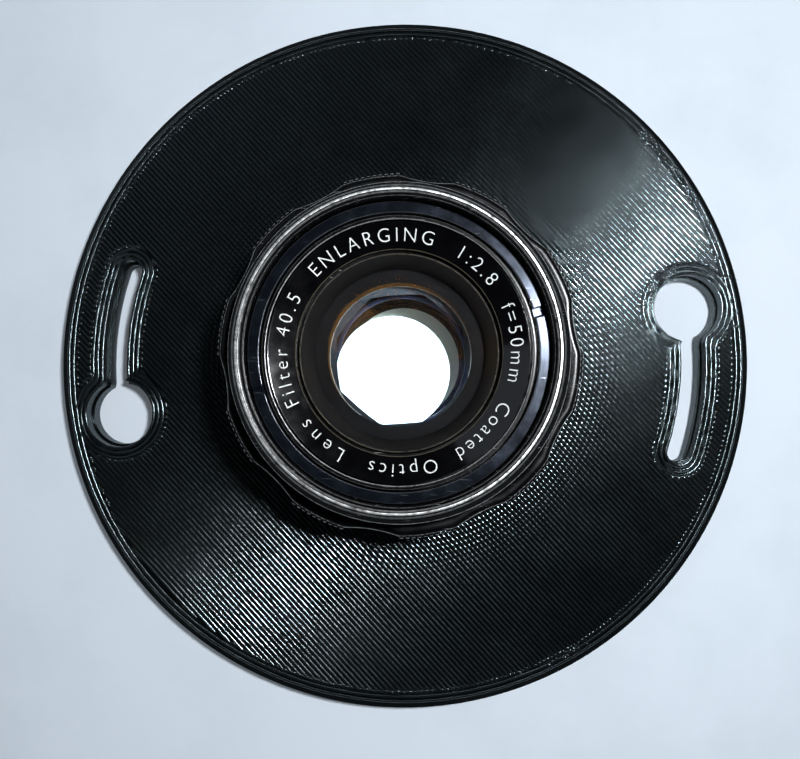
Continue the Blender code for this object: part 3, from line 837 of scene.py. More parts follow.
@dataclass
class LensBoard:
    """Round board printed in plastic lines, with two stepped keyholes."""

    shop: Workshop
    layer: float = 0.2
    layer_depth: float = 0.035
    chamfer: float = 1.2
    lens_hole: float = 19.8
    line_pitch: float = 0.33
    line_direction: float = -47.0
    bead_height: float = 0.085
    pressed_height: float = 0.04
    pressed_drop: float = 0.045
    rim_loops: int = 4
    keyhole_loops: int = 6
    loop_pitch: float = 0.36
    hole_radius: float = 5.25
    slot_half: float = 1.9
    slot_sweep: float = -28.8
    ledge: float = 0.45
    rim_steps: int = 288
    hole_rim: float = 0.8
    line_step: float = 0.05
    line_shake: float = 0.012
    height_shake: float = 0.008
    least_steps: int = 8
    turn_lines: float = 4.0
    proud_width: float = 0.7
    pressed_width: float = 0.9
    loop_width: float = 0.62
    loop_drop: float = 0.04
    blob_radius: float = 0.38
    blob_least: float = 0.55
    line_seed: int = 7
    height_seed: int = 11
    patch_seed: int = 5
    blob_seed: int = 3
    loop_seed: int = 19
    rough_patches: tuple[tuple[float, float, int], ...] = ((28.0, 44.0, 70), (-72.0, -56.0, 24),
                                                            (5.0, 28.0, 26), (128.0, 150.0, 14))

    def __post_init__(self) -> None:
        """Read the board's size and the keyholes' places from the frame."""
        self.radius, self.bottom, self.top = node_size("lens_board")
        centres = []
        for opening in frame["record"]["physics"]["openings"]:
            if opening["name"].startswith("keyhole"):
                low, high = opening["box_m"]
                centres.append(((low[0] + high[0]) / 2 / MM, (low[1] + high[1]) / 2 / MM))
        self.circle = math.hypot(*centres[0])
        self.angles = [math.degrees(math.atan2(y, x)) for x, y in centres]
        self.flat_top = self.top - self.bead_height

    def keyhole(self, angle: float, grow_by: float, steps: int = 40) -> list[Point2]:
        """Outline of a keyhole.

        Args:
            angle: Where its round hole lies.
            grow_by: How far the outline stands outside the hole's upper edge.
            steps: Steps round the hole.

        Returns:
            The outline's points.
        """
        hole, half = self.hole_radius + grow_by, self.slot_half + grow_by
        mouth = math.degrees(math.asin(half / hole))
        centre = polar(self.circle, angle)
        outline = []
        for i in range(steps + 1):
            x, y = polar(hole, angle - 90.0 + mouth + (360.0 - 2.0 * mouth) * i / steps)
            outline.append((centre[0] + x, centre[1] + y))
        lead = math.degrees(hole * math.cos(math.radians(mouth)) / self.circle) + 0.8
        end = angle + self.slot_sweep
        run = [angle - lead + (self.slot_sweep + lead) * i / 24.0 for i in range(25)]
        tip = polar(self.circle, end)
        cap = [(tip[0] + x, tip[1] + y)
               for x, y in (polar(half, end + 180.0 + 180.0 * i / 12.0) for i in range(1, 12))]
        return (outline + [polar(self.circle - half, a) for a in run] + cap
                + [polar(self.circle + half, a) for a in reversed(run)])

    def wall(self, points: list[tuple[float, float, float]], faces: list[Sequence[int]],
             outline_at: Callable[[float, float], Sequence[Point2]], low: float,
             high: float) -> tuple[list[int], list[int]]:
        """Build a wall of printed layers.

        Args:
            points: Vertices so far; the wall's are added.
            faces: Faces so far; the wall's are added.
            outline_at: Outline for a height and a depth into the groove between layers.
            low: Height of the wall's foot.
            high: Height of its top.

        Returns:
            The vertex numbers of its lowest and highest rows.
        """
        rows: list[list[int]] = []
        layers = round((high - low) / self.layer)
        for i in range(layers):
            for share, depth in ((0.02, 1.0), (0.25, 0.2), (0.5, 0.0), (0.75, 0.2), (0.98, 1.0)):
                height = low + (high - low) * (i + share) / layers
                if (i, share) == (0, 0.02):
                    height = low
                if (i, share) == (layers - 1, 0.98):
                    height = high
                outline = outline_at(height, depth * self.layer_depth)
                rows.append(list(range(len(points), len(points) + len(outline))))
                points.extend((x, y, height) for x, y in outline)
        for near, far in zip(rows, rows[1:]):
            for i in range(len(near)):
                j = (i + 1) % len(near)
                faces.append((near[i], near[j], far[j], far[i]))
        return rows[0], rows[-1]

    def rim_outline(self, height: float, depth: float) -> list[Point2]:
        """Outer outline: straight, then stepped inward layer by layer.

        Args:
            height: Height of the outline.
            depth: How far it lies into the groove between layers.

        Returns:
            The outline's points.
        """
        above = height - (self.top - self.chamfer)
        step = max(0.0, math.ceil(above / self.layer - 1e-6) * self.layer) * 0.97
        return [polar(self.radius - step - depth, 360.0 * i / self.rim_steps)
                for i in range(self.rim_steps)]

    def build_body(self) -> None:
        """Solid under the top lines, with layered walls."""
        points: list[tuple[float, float, float]] = []
        faces: list[Sequence[int]] = []
        ledge_at = (self.bottom + self.top) / 2
        bottom_loops, top_loops = [], []
        low, high = self.wall(points, faces, self.rim_outline, self.bottom, self.flat_top)
        bottom_loops.append(low)
        top_loops.append(high)
        hole = [polar(self.lens_hole, 360.0 * i / 96) for i in range(96)]
        low, high = self.wall(points, faces, lambda height, depth: hole, self.bottom, self.flat_top)
        bottom_loops.append(low)
        top_loops.append(high)
        for angle in self.angles:
            foot, under = self.wall(points, faces, lambda height, depth, a=angle:
                                    self.keyhole(a, -self.ledge + depth), self.bottom, ledge_at)
            over, head = self.wall(points, faces, lambda height, depth, a=angle:
                                   self.keyhole(a, depth), ledge_at, self.flat_top)
            for i in range(len(under)):
                j = (i + 1) % len(under)
                faces.append((under[i], under[j], over[j], over[i]))
            bottom_loops.append(foot)
            top_loops.append(head)
        for loops in (bottom_loops, top_loops):
            numbers = [i for loop in loops for i in loop]
            flat = [[Vector((points[i][0], points[i][1], 0.0)) for i in loop] for loop in loops]
            faces += [tuple(numbers[i] for i in corner) for corner in tessellate_polygon(flat)]
        body = new_object("board_body", points, faces, smooth=True)
        body.data.set_sharp_from_angle(angle=math.radians(50.0))
        face_outward(body, 1e-8)
        self.shop.finishes.dress(body, Finishes.PRINT, "root", ["lens_board"])

    def allowed(self, x: np.ndarray, y: np.ndarray) -> np.ndarray:
        """Where the straight top lines may run: inside the rim loops and outside the keyhole loops.

        Args:
            x: First coordinate of each place.
            y: Second coordinate of each place.

        Returns:
            Whether each place is free.
        """
        radius = np.hypot(x, y)
        limit = self.radius - self.chamfer - self.rim_loops * self.loop_pitch
        fine = (radius < limit) & (radius > self.lens_hole + self.hole_rim)
        margin = self.keyhole_loops * self.loop_pitch
        turn = np.degrees(np.arctan2(y, x))
        for angle in self.angles:
            cx, cy = polar(self.circle, angle)
            fine &= np.hypot(x - cx, y - cy) > self.hole_radius + margin
            tx, ty = polar(self.circle, angle + self.slot_sweep)
            fine &= np.hypot(x - tx, y - ty) > self.slot_half + margin
            along = (angle - turn) % 360.0
            fine &= ~((along < -self.slot_sweep) & (np.abs(radius - self.circle) < self.slot_half + margin))
        return fine

    def line_runs(self) -> list[list[tuple[Point2, Point2]]]:
        """Find where each straight line on the top starts and stops.

        Returns:
            The ends of each line's runs, line by line.
        """
        draw = random.Random(self.line_seed)
        dx, dy = polar(1.0, self.line_direction)
        nx, ny = -dy, dx
        count = int(self.radius / self.line_pitch)
        t = np.arange(-self.radius, self.radius, self.line_step)
        lines = []
        for i in range(-count, count + 1):
            s = i * self.line_pitch + draw.uniform(-self.line_shake, self.line_shake)
            inside = np.concatenate(([False], self.allowed(t * dx + s * nx, t * dy + s * ny), [False]))
            starts = np.flatnonzero(inside[1:] & ~inside[:-1])
            ends = np.flatnonzero(~inside[1:] & inside[:-1]) - 1
            lines.append([((t[a] * dx + s * nx, t[a] * dy + s * ny), (t[b] * dx + s * nx, t[b] * dy + s * ny))
                          for a, b in zip(starts, ends) if b - a > self.least_steps])
        return lines

    def build_lines(self) -> None:
        """Straight top lines, joined in pairs at their ends as the nozzle turns back."""
        proud: list[list[tuple[float, float, float]]] = []
        pressed: list[list[tuple[float, float, float]]] = []
        turns: list[list[tuple[float, float, float]]] = []
        draw = random.Random(self.height_seed)
        lines = self.line_runs()
        for number, runs in enumerate(lines):
            height = self.flat_top + draw.uniform(-self.height_shake, self.height_shake)
            level = height + self.bead_height - self.pressed_height - self.pressed_drop
            if number % 2:
                proud += [[(*start, height), (*end, height)] for start, end in runs]
            else:
                pressed += [[(*start, level), (*end, level)] for start, end in runs]
            following = lines[number + 1] if number + 1 < len(lines) else []
            if len(following) == len(runs):
                side = number % 2
                for run, beside in zip(runs, following):
                    gap = math.dist(run[side], beside[side])
                    if gap < self.turn_lines * self.line_pitch:
                        turns.append([(*run[side], height), (*beside[side], height)])
        # Every other line lies lower and wears the darker, duller copy of the plastic: painted shade in the
        # hollows.
        for name, paths, width, height, finish in (
                ("proud", proud + turns, self.proud_width, self.bead_height, Finishes.PRINT),
                ("pressed", pressed, self.pressed_width, self.pressed_height, Finishes.PRINT_PAINTED_SHADE)):
            piece = self.shop.beads(f"board_{name}_lines", paths, False, self.line_pitch * width, height, 8,
                                    finish)
            self.shop.finishes.dress(piece, finish, "root")
        self.build_blobs(turns)

    def build_blobs(self, turns: Sequence[Sequence[Sequence[float]]]) -> None:
        """Blobs where the nozzle turned back, and rough patches on the rim.

        Args:
            turns: Two ends of each turn, in millimetres.
        """
        draw = random.Random(self.patch_seed)
        points = [((a[0] + b[0]) / 2, (a[1] + b[1]) / 2, self.flat_top + 0.05) for a, b in turns]
        limit = self.radius - self.chamfer
        for start, end, count in self.rough_patches:
            points += [(*polar(limit - draw.uniform(0.1, 1.5), draw.uniform(start, end)),
                        self.flat_top + 0.03) for _ in range(count)]
        seed = new_object("board_blobs", points)
        grow(seed, self.shop.trees.blobs, {"Radius": self.blob_radius * MM,
                                           "Height": (self.bead_height - 0.01) * MM,
                                           "Least": self.blob_least, "Seed": self.blob_seed,
                                           "Finish": self.shop.finishes.get(Finishes.PRINT)})
        self.shop.finishes.dress(seed, Finishes.PRINT, "root")

    def build_loops(self) -> None:
        """Loops that the nozzle draws along the rim and round each keyhole."""
        paths: dict[int, list[list[tuple[float, float, float]]]] = {0: [], 1: []}
        draw = random.Random(self.loop_seed)
        for k in range(self.rim_loops):
            radius = self.radius - self.chamfer - (k + 0.35) * self.loop_pitch
            paths[k % 2].append([(*polar(radius + draw.uniform(-0.03, 0.03), 360.0 * i / 240),
                                  self.flat_top - self.loop_drop * (k % 2) - draw.uniform(0.0, 0.03))
                                 for i in range(240)])
        for angle in self.angles:
            for k in range(self.keyhole_loops):
                outline = self.keyhole(angle, (k + 0.5) * self.loop_pitch)
                paths[k % 2].append([(x + draw.uniform(-0.04, 0.04), y + draw.uniform(-0.04, 0.04),
                                      self.flat_top - self.loop_drop * (k % 2) - draw.uniform(0.0, 0.05))
                                     for x, y in outline])
        # Every other loop lies lower and wears the darker, duller copy of the plastic: painted shade in the
        # hollows.
        for k, (name, finish) in enumerate((("proud", Finishes.PRINT), ("pressed", Finishes.PRINT_PAINTED_SHADE))):
            piece = self.shop.beads(f"board_{name}_loops", paths[k], True,
                                    self.loop_pitch * self.loop_width, self.bead_height, 8, finish)
            self.shop.finishes.dress(piece, finish, "root")

    def build(self) -> None:
        """Build the whole board."""
        self.build_body()
        self.build_lines()
        self.build_loops()


# ---------------------------------------------------------------- barrels

@dataclass
class MainBarrel:
    """Mounting thread, flange with its index mark, and the tube inside the aperture ring."""

    shop: Workshop
    mount_radius: float = 19.4
    flange_back: float = 5.3
    flange_front: float = 9.5
    tube_radius: float = 19.6
    bore: float = 16.9
    rear_bore: float = 15.6
    iris_seat: float = 9.1
    thread_pitch: float = 25.4 / 26.0
    index_angle: float = -90.0
    index_half: float = 0.16
    groove_depth: float = 0.5
    groove_play: float = 0.2
    slot_half: float = 1.2
    slot_play: float = 5.0
    pocket_radius: float = 0.95
    pocket_floor: float = 6.4
    thread_width: float = 0.3
    thread_depth: float = 0.36
    thread_steps: int = 72

    def build(self) -> None:
        """Build the barrel, its thread and its index mark."""
        radius, bottom, top = node_size("main_barrel")
        snap_low, snap_high = node_size("iris_snap_ring")[1:]
        barrel = lathe("main_barrel_body", rounded([
            Corner(self.rear_bore, bottom), Corner(self.mount_radius - 0.1, bottom, 0.25, 0.8),
            Corner(self.mount_radius - 0.1, self.flange_back, 0.05),
            Corner(radius, self.flange_back, 0.2, 0.5), Corner(radius, self.flange_front, 0.3, 0.8),
            Corner(self.tube_radius, self.flange_front),
            Corner(self.tube_radius, top, 0.2, 0.4), Corner(self.bore, top, 0.15),
            Corner(self.bore, snap_high + self.groove_play),
            Corner(self.bore + self.groove_depth, snap_high + self.groove_play),
            Corner(self.bore + self.groove_depth, snap_low - self.groove_play),
            Corner(self.bore, snap_low - self.groove_play),
            Corner(self.bore, self.iris_seat), Corner(self.rear_bore, self.iris_seat)]), 160)
        drive_low, drive_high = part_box("drive_screw")
        middle = (drive_low + drive_high) / 2 / MM
        start = math.degrees(math.atan2(middle.y, middle.x))
        travel = next(j["range_deg"][1] for j in frame["joints"] if j["name"] == "aperture_turn")
        arc = [start - self.slot_play + (travel + 2.0 * self.slot_play) * i / 24.0 for i in range(25)]
        slot = prism("drive_slot", [polar(self.bore - 2.0, a) for a in arc]
                     + [polar(self.tube_radius + 0.3, a) for a in reversed(arc)],
                     middle.z - self.slot_half, middle.z + self.slot_half)
        ball_low, ball_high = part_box("click_ball")
        ball = (ball_low + ball_high) / 2 / MM
        pocket = prism("click_pocket", [(ball.x + x, ball.y + y)
                                        for x, y in (polar(self.pocket_radius, 15.0 * i)
                                                     for i in range(24))],
                       self.pocket_floor, self.flange_front + 1.0)
        carve(barrel, [slot, pocket])
        self.shop.finishes.dress(barrel, Finishes.ANODISED, "root", ["main_barrel"])
        turns = (self.flange_back - bottom - 1.2) / self.thread_pitch
        helix = [(*polar(self.mount_radius - 0.1, 360.0 * i / self.thread_steps),
                  bottom + 0.5 + self.thread_pitch * i / self.thread_steps)
                 for i in range(int(turns * self.thread_steps))]
        thread = self.shop.beads("mount_thread", [helix], False, self.thread_width, self.thread_depth, 4,
                                 Finishes.ANODISED)
        self.shop.finishes.dress(thread, Finishes.ANODISED, "root")
        self.build_index(radius)

    def build_index(self, radius: float) -> None:
        """White line on the flange that the aperture numbers are set against.

        Args:
            radius: Radius of the flange.
        """
        half, low, high = self.index_half, self.flange_back + 1.6, self.flange_front - 0.35
        points = []
        for out in (radius - 0.05, radius + 0.02):
            for x, z in ((-half, low), (half, low), (half, high), (-half, high)):
                points.append((*polar(out, self.index_angle + math.degrees(x / radius)), z))
        faces = [(0, 1, 2, 3), (4, 5, 6, 7), (0, 1, 5, 4), (1, 2, 6, 5), (2, 3, 7, 6), (3, 0, 4, 7)]
        mark = new_object("index_mark", points, faces, smooth=False)
        face_outward(mark)
        self.shop.finishes.dress(mark, Finishes.PAINT, "root")


@dataclass
class FrontBarrel:
    """Front shell with the filter thread and a rounded rim that is worn bright."""

    shop: Workshop
    bore: float = 19.9
    thread_radius: float = 20.25
    step: float = 25.6
    shoulder: float = 27.05
    neck: float = 21.75
    thread_pitch: float = 0.5
    thread_steps: int = 120
    thread_width: float = 0.24
    thread_depth: float = 0.2
    screw_hole: float = 0.9
    screw_reach: float = 4.0
    crown_depth: float = 0.03
    crown_wear: float = 0.95

    def build(self) -> None:
        """Build the shell, its screw holes and its thread."""
        radius, bottom, top = node_size("front_barrel")
        section = rounded([
            Corner(self.bore, bottom, 0.1), Corner(radius, bottom, 0.2, 0.5),
            Corner(radius, self.shoulder, 0.14, 0.8), Corner(self.neck, self.shoulder + 0.55, 0.12),
            Corner(self.neck, top - 0.45, 0.12), Corner(self.neck - 0.22, top - 0.14, 0.2, 0.25),
            Corner(self.neck - 0.64, top, 0.3, 1.0), Corner(self.thread_radius + 0.42, top - 0.08, 0.2, 0.3),
            Corner(self.thread_radius, top - 0.6, 0.12, 0.5), Corner(self.thread_radius, self.step, 0.05),
            Corner(self.bore, self.step, 0.05)], 8)
        crown = top - self.crown_depth
        shell = lathe("front_barrel_shell", [(r, z, max(worn, self.crown_wear) if z > crown else worn)
                                             for r, z, worn in section], 240)
        cutters = []
        for node in ("set_screw_1", "set_screw_2", "set_screw_3"):
            low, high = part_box(node)
            middle = (low + high) / 2 / MM
            cutters.append(radial_drill(node + "_hole", middle, self.screw_hole, self.screw_reach))
        carve(shell, cutters)
        self.shop.finishes.dress(shell, Finishes.ANODISED, "root", ["front_barrel"])
        low, high = node_size("spanner_ring")[2] + 0.25, top - 0.75
        count = int((high - low) / self.thread_pitch * self.thread_steps)
        helix = [(*polar(self.thread_radius + 0.02, 360.0 * i / self.thread_steps),
                  low + self.thread_pitch * i / self.thread_steps) for i in range(count)]
        thread = self.shop.beads("filter_thread", [helix], False, self.thread_width, self.thread_depth, 4,
                                 Finishes.ANODISED)
        self.shop.finishes.dress(thread, Finishes.ANODISED, "root")


def radial_drill(name: str, middle: Vector, radius: float, reach: float) -> bpy.types.Object:
    """Round cutter that points away from the axis through a place.

    Args:
        name: Name of the cutter.
        middle: Its middle, in millimetres.
        radius: Its radius.
        reach: Half its length.

    Returns:
        The cutter.
    """
    out = Vector((middle.x, middle.y, 0.0)).normalized()
    side, up = Vector((-out.y, out.x, 0.0)), Vector((0.0, 0.0, 1.0))
    count = 24
    points = []
    for end in (-reach, reach):
        for i in range(count):
            a, b = polar(radius, 360.0 * i / count)
            points.append(tuple(middle + out * end + side * a + up * b))
    faces: list[Sequence[int]] = [tuple(range(count)), tuple(range(count, 2 * count))]
    faces += [(i, (i + 1) % count, count + (i + 1) % count, count + i) for i in range(count)]
    drill = new_object(name, points, faces, smooth=False)
    face_outward(drill)
    return drill


# ---------------------------------------------------------------- aperture ring

@dataclass
class ApertureRing:
    """Ring turned by hand: lobed, knurled grip with worn edges, and the aperture scale."""

    shop: Workshop
    bore: float = 19.9
    skirt: float = 23.2
    shoulder: float = 22.9
    grip_back: float = 14.5
    grip_front: float = 21.5
    lobes: int = 10
    first_lobe: float = 27.0
    lobe_span: float = 18.75
    scoop_depth: float = 0.95
    tooth_depth: float = 0.32
    teeth: int = 10
    samples: int = 36
    number_height: float = 1.75
    scale: tuple[str, ...] = ("2.8", "4", "5.6", "8", "11", "16")

    def build_body(self) -> None:
        """Turned part of the ring."""
        radius, bottom, top = node_size("aperture_ring")
        self.radius = radius
        body = lathe("aperture_ring_body", rounded([
            Corner(self.bore, bottom, 0.1), Corner(self.skirt, bottom, 0.2, 0.6),
            Corner(self.skirt, self.grip_back + 0.3, 0.05), Corner(self.shoulder, self.grip_back + 0.6, 0.05),
            Corner(self.shoulder, top, 0.3, 0.5), Corner(self.bore, top, 0.1)]), 192)
        low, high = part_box("drive_screw")
        carve(body, [radial_drill("drive_screw_hole", (low + high) / 2 / MM, 1.2, 4.5)])
        self.shop.finishes.dress(body, Finishes.ANODISED, "aperture", ["aperture_ring"])

    def grip_radius(self, degrees: float) -> float:
        """Radius of the grip without its teeth.

        Args:
            degrees: Angle round the ring.

        Returns:
            The radius.
        """
        pitch = 360.0 / self.lobes
        away = abs((degrees - self.first_lobe + pitch / 2) % pitch - pitch / 2)
        half_scoop = (pitch - self.lobe_span) / 2
        into = max(0.0, away - self.lobe_span / 2) / half_scoop
        base = self.radius - self.tooth_depth
        return base - (self.scoop_depth - self.tooth_depth) * (1.0 - (1.0 - into) ** 2)

    def build_grip(self) -> None:
        """Lobes and scoops, with the edges of both faces bevelled and worn."""
        levels = [(self.grip_back, 0.5, 0.0), (self.grip_back + 0.06, 0.38, 0.0),
                  (self.grip_back + 0.2, 0.16, 0.7), (self.grip_back + 0.34, 0.05, 0.0),
                  (self.grip_back + 0.6, 0.0, 0.0), (self.grip_front - 0.6, 0.0, 0.0),
                  (self.grip_front - 0.34, 0.03, 0.0), (self.grip_front - 0.24, 0.08, 0.9),
                  (self.grip_front - 0.16, 0.15, 0.0), (self.grip_front - 0.05, 0.36, 0.0),
                  (self.grip_front, 0.6, 0.0), (self.grip_front, 0.75, 0.0)]
        count = self.lobes * self.samples
        points, wear, rows = [], [], []
        for height, inset, worn in levels:
            rows.append(list(range(len(points), len(points) + count)))
            for i in range(count):
                angle = 360.0 * i / count
                points.append((*polar(self.grip_radius(angle) - inset, angle), height))
                wear.append(worn)
        for height in (self.grip_front, self.grip_back):
            rows.append(list(range(len(points), len(points) + count)))
            points += [(*polar(self.shoulder - 0.3, 360.0 * i / count), height) for i in range(count)]
            wear += [0.0] * count
        faces = []
        for near, far in zip(rows, rows[1:] + rows[:1]):
            faces += [(near[i], near[(i + 1) % count], far[(i + 1) % count], far[i]) for i in range(count)]
        grip = new_object("grip_lobes", points, faces)
        grip.data.attributes.new("wear", "FLOAT", "POINT").data.foreach_set("value", wear)
        face_outward(grip, 0.0)
        self.shop.finishes.dress(grip, Finishes.ANODISED, "aperture")

    def build_teeth(self) -> None:
        """Straight knurling: ridges across each lobe, worn bright along their crests and ends."""
        pitch = self.lobe_span / self.teeth
        base, crest = self.radius - self.tooth_depth - 0.12, self.radius
        half = math.radians(pitch) * self.radius * 0.46
        low, high = self.grip_back + 0.22, self.grip_front - 0.2
        stations = ((low, 0.45, 0.2), (low + 0.3, 0.05, 1.0), (low + 0.5, 0.0, 0.05),
                    (high - 0.4, 0.0, 0.0), (high - 0.28, 0.05, 1.0), (high - 0.18, 0.13, 0.0),
                    (high, 0.45, 0.0))
        points, wear, faces = [], [], []
        for height, drop, worn in stations:
            for radius, y, share in ((base - 0.2, -half, 0.0), (crest - drop, -half * 0.55, 1.0),
                                     (crest - drop, half * 0.55, 1.0), (base - 0.2, half, 0.0)):
                points.append((radius, y, height))
                wear.append(worn * share)
        for k in range(len(stations) - 1):
            for i in range(4):
                j = (i + 1) % 4
                faces.append((4 * k + i, 4 * k + j, 4 * k + 4 + j, 4 * k + 4 + i))
        last = 4 * (len(stations) - 1)
        faces += [(0, 1, 2, 3), (last, last + 1, last + 2, last + 3)]
        tooth = new_object("knurl_teeth", points, faces, smooth=False)
        tooth.data.attributes.new("wear", "FLOAT", "POINT").data.foreach_set("value", wear)
        face_outward(tooth, 0.0)
        start = self.first_lobe - self.lobe_span / 2 + pitch / 2
        grow(tooth, self.shop.trees.round, {
            "Count": self.lobes * self.teeth, "Per Group": self.teeth, "Step": math.radians(pitch),
            "Group Step": TURN / self.lobes, "Start": math.radians(start),
            "Finish": self.shop.finishes.get(Finishes.ANODISED)})
        self.shop.finishes.dress(tooth, Finishes.ANODISED, "aperture")

    def build_scale(self) -> None:
        """Aperture numbers, upright when the lens hangs with its glass down."""
        middle = (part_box("aperture_ring")[0].z / MM + self.grip_back) / 2
        travel = next(j["range_deg"][1] for j in frame["joints"] if j["name"] == "aperture_turn")
        step = travel / (len(self.scale) - 1)
        for i, words in enumerate(self.scale):
            centre = -90.0 - step * i

            def place(x: float, y: float, z: float, at: float = centre) -> Sequence[float]:
                """Point on the skirt for a point of the flat letters."""
                return (*polar(self.skirt + z, at - math.degrees(x / self.skirt)), middle - y)

            letters = Lettering(words, self.number_height, weight=0.012)
            number = letters.build(f"scale_{words.replace('.', '_')}", place)
            self.shop.finishes.dress(number, Finishes.PAINT, "aperture")

    def build(self) -> None:
        """Build the whole ring."""
        self.build_body()
        self.build_grip()
        self.build_teeth()
        self.build_scale()


# ---------------------------------------------------------------- front rings

@dataclass
class FrontRings:
    """Spanner ring, cell, engraved ring and the cone that holds the front glass.

    Radii of the cell's bores are named for what sits in them, and floors are the heights they end at.
    """

    shop: Workshop
    spanner_bore: float = 18.5
    slot_length: float = 3.0
    light_bore: float = 8.2
    doublet_bore: float = 10.4
    doublet_floor: float = 13.85
    spacer_bore: float = 12.6
    spacer_floor: float = 18.95
    element_bore: float = 13.6
    element_floor: float = 22.0
    ring_bore: float = 16.2
    ring_floor: float = 24.6
    rim_bore: float = 17.65
    rim_floor: float = 25.95
    tail: float = 14.8
    tail_length: float = 1.15
    waist: float = 16.6
    collar: float = 25.6
    name_bore: float = 13.8
    name_low: float = 25.7
    name_seat: float = 16.0
    name_ledge: float = 26.1
    cone_bore: float = 11.7
    grooves: int = 14
    slot_angles: tuple[float, float] = (16.0, 196.0)
    slot_width: float = 1.05
    slot_depth: float = 0.75
    letter_height: float = 1.8
    letter_radius: float = 15.62
    engraving: tuple[tuple[str, float, float], ...] = (
        ("ENLARGING", 105.0, 69.0), ("1:2.8", 48.0, 21.0), ("f=50mm", 4.5, 41.0), ("Coated", -43.0, 35.0),
        ("Optics", -88.0, 34.0), ("Lens", -131.0, 26.0), ("Filter 40.5", 179.0, 52.0))

    def build_spanner_ring(self) -> None:
        """Blued ring with two slots for a lens spanner."""
        radius, bottom, top = node_size("spanner_ring")
        inner = self.spanner_bore
        ring = lathe("spanner_ring_body", rounded([
            Corner(inner, bottom), Corner(radius, bottom), Corner(radius, top, 0.12, 0.5),
            Corner(inner, top, 0.12, 0.6)]), 240)
        cutters = [prism(f"spanner_slot_{i + 1}", box_outline(polar((inner + radius) / 2, a), a,
                                                              self.slot_length, self.slot_width),
                         top - self.slot_depth, top + 1.0) for i, a in enumerate(self.slot_angles)]
        carve(ring, cutters)
        self.shop.finishes.dress(ring, Finishes.BLUED, "root", ["spanner_ring"])

    def build_cell(self) -> None:
        """Front cell, whose thin bright edge stands round the engraved ring."""
        radius, bottom, top = node_size("front_cell")
        cell = lathe("front_cell_body", rounded([
            Corner(self.light_bore, bottom), Corner(self.tail, bottom),
            Corner(self.tail, bottom + self.tail_length), Corner(self.waist, bottom + self.tail_length),
            Corner(self.waist, self.collar), Corner(radius, self.collar), Corner(radius, top, 0.1, 0.25),
            Corner(self.rim_bore, top, 0.14, 1.0), Corner(self.rim_bore, self.rim_floor),
            Corner(self.ring_bore, self.rim_floor), Corner(self.ring_bore, self.ring_floor),
            Corner(self.element_bore, self.ring_floor), Corner(self.element_bore, self.element_floor),
            Corner(self.spacer_bore, self.element_floor), Corner(self.spacer_bore, self.spacer_floor),
            Corner(self.doublet_bore, self.spacer_floor), Corner(self.doublet_bore, self.doublet_floor),
            Corner(self.light_bore, self.doublet_floor)], 3), 192)
        self.shop.finishes.dress(cell, Finishes.ANODISED, "root", ["front_cell"])

    def build_name_ring(self) -> None:
        """Gloss black ring that slopes in towards the glass, with its engraving filled in white."""
        radius, bottom, top = node_size("name_ring")
        inner, inner_top = self.name_bore, self.name_low
        ring = lathe("name_ring_body", rounded([
            Corner(inner, bottom, 0.05), Corner(self.name_seat, bottom),
            Corner(self.name_seat, self.name_ledge), Corner(radius, self.name_ledge),
            Corner(radius, top, 0.06), Corner(inner, inner_top, 0.16, 0.8)]), 240)
        self.shop.finishes.dress(ring, Finishes.ENAMEL, "root", ["name_ring"])
        slope = (top - inner_top) / (radius - inner)
        for i, (words, centre, span) in enumerate(self.engraving):

            def place(x: float, y: float, z: float, at: float = centre) -> Sequence[float]:
                """Point on the sloping face for a point of the flat letters."""
                return (*polar(self.letter_radius + y, at - math.degrees(x / self.letter_radius)),
                        inner_top + slope * (self.letter_radius + y - inner) + z)

            letters = Lettering(words, self.letter_height, math.radians(span) * self.letter_radius,
                                -0.035).build(f"engraving_{i + 1}", place)
            self.shop.finishes.dress(letters, Finishes.PAINT, "root")

    def build_retainer(self) -> None:
        """Matt black cone with fine grooves that catch stray light."""
        radius, bottom, top = node_size("front_lens_retainer")
        section: Section = [(self.cone_bore, bottom, 0.0), (radius, bottom, 0.0), (radius, top - 0.15, 0.0),
                            (radius - 0.03, top, 0.4), (radius - 0.22, top, 0.4)]
        for i in range(self.grooves):
            share = (i + 0.5) / self.grooves
            out = radius - 0.25 - (radius - 0.3 - self.cone_bore) * share
            height = top - 0.05 - (top - 0.05 - bottom - 0.15) * share
            section += [(out + 0.05, height + 0.04, 0.0), (out + 0.04, height - 0.03, 0.0)]
        section.append((self.cone_bore, bottom + 0.12, 0.0))
        cone = lathe("front_retainer_cone", section, 192)
        self.shop.finishes.dress(cone, Finishes.MATT, "root", ["front_lens_retainer"])

    def build(self) -> None:
        """Build every ring inside the front barrel's mouth."""
        self.build_spanner_ring()
        self.build_cell()
        self.build_name_ring()
        self.build_retainer()


# ---------------------------------------------------------------- glass

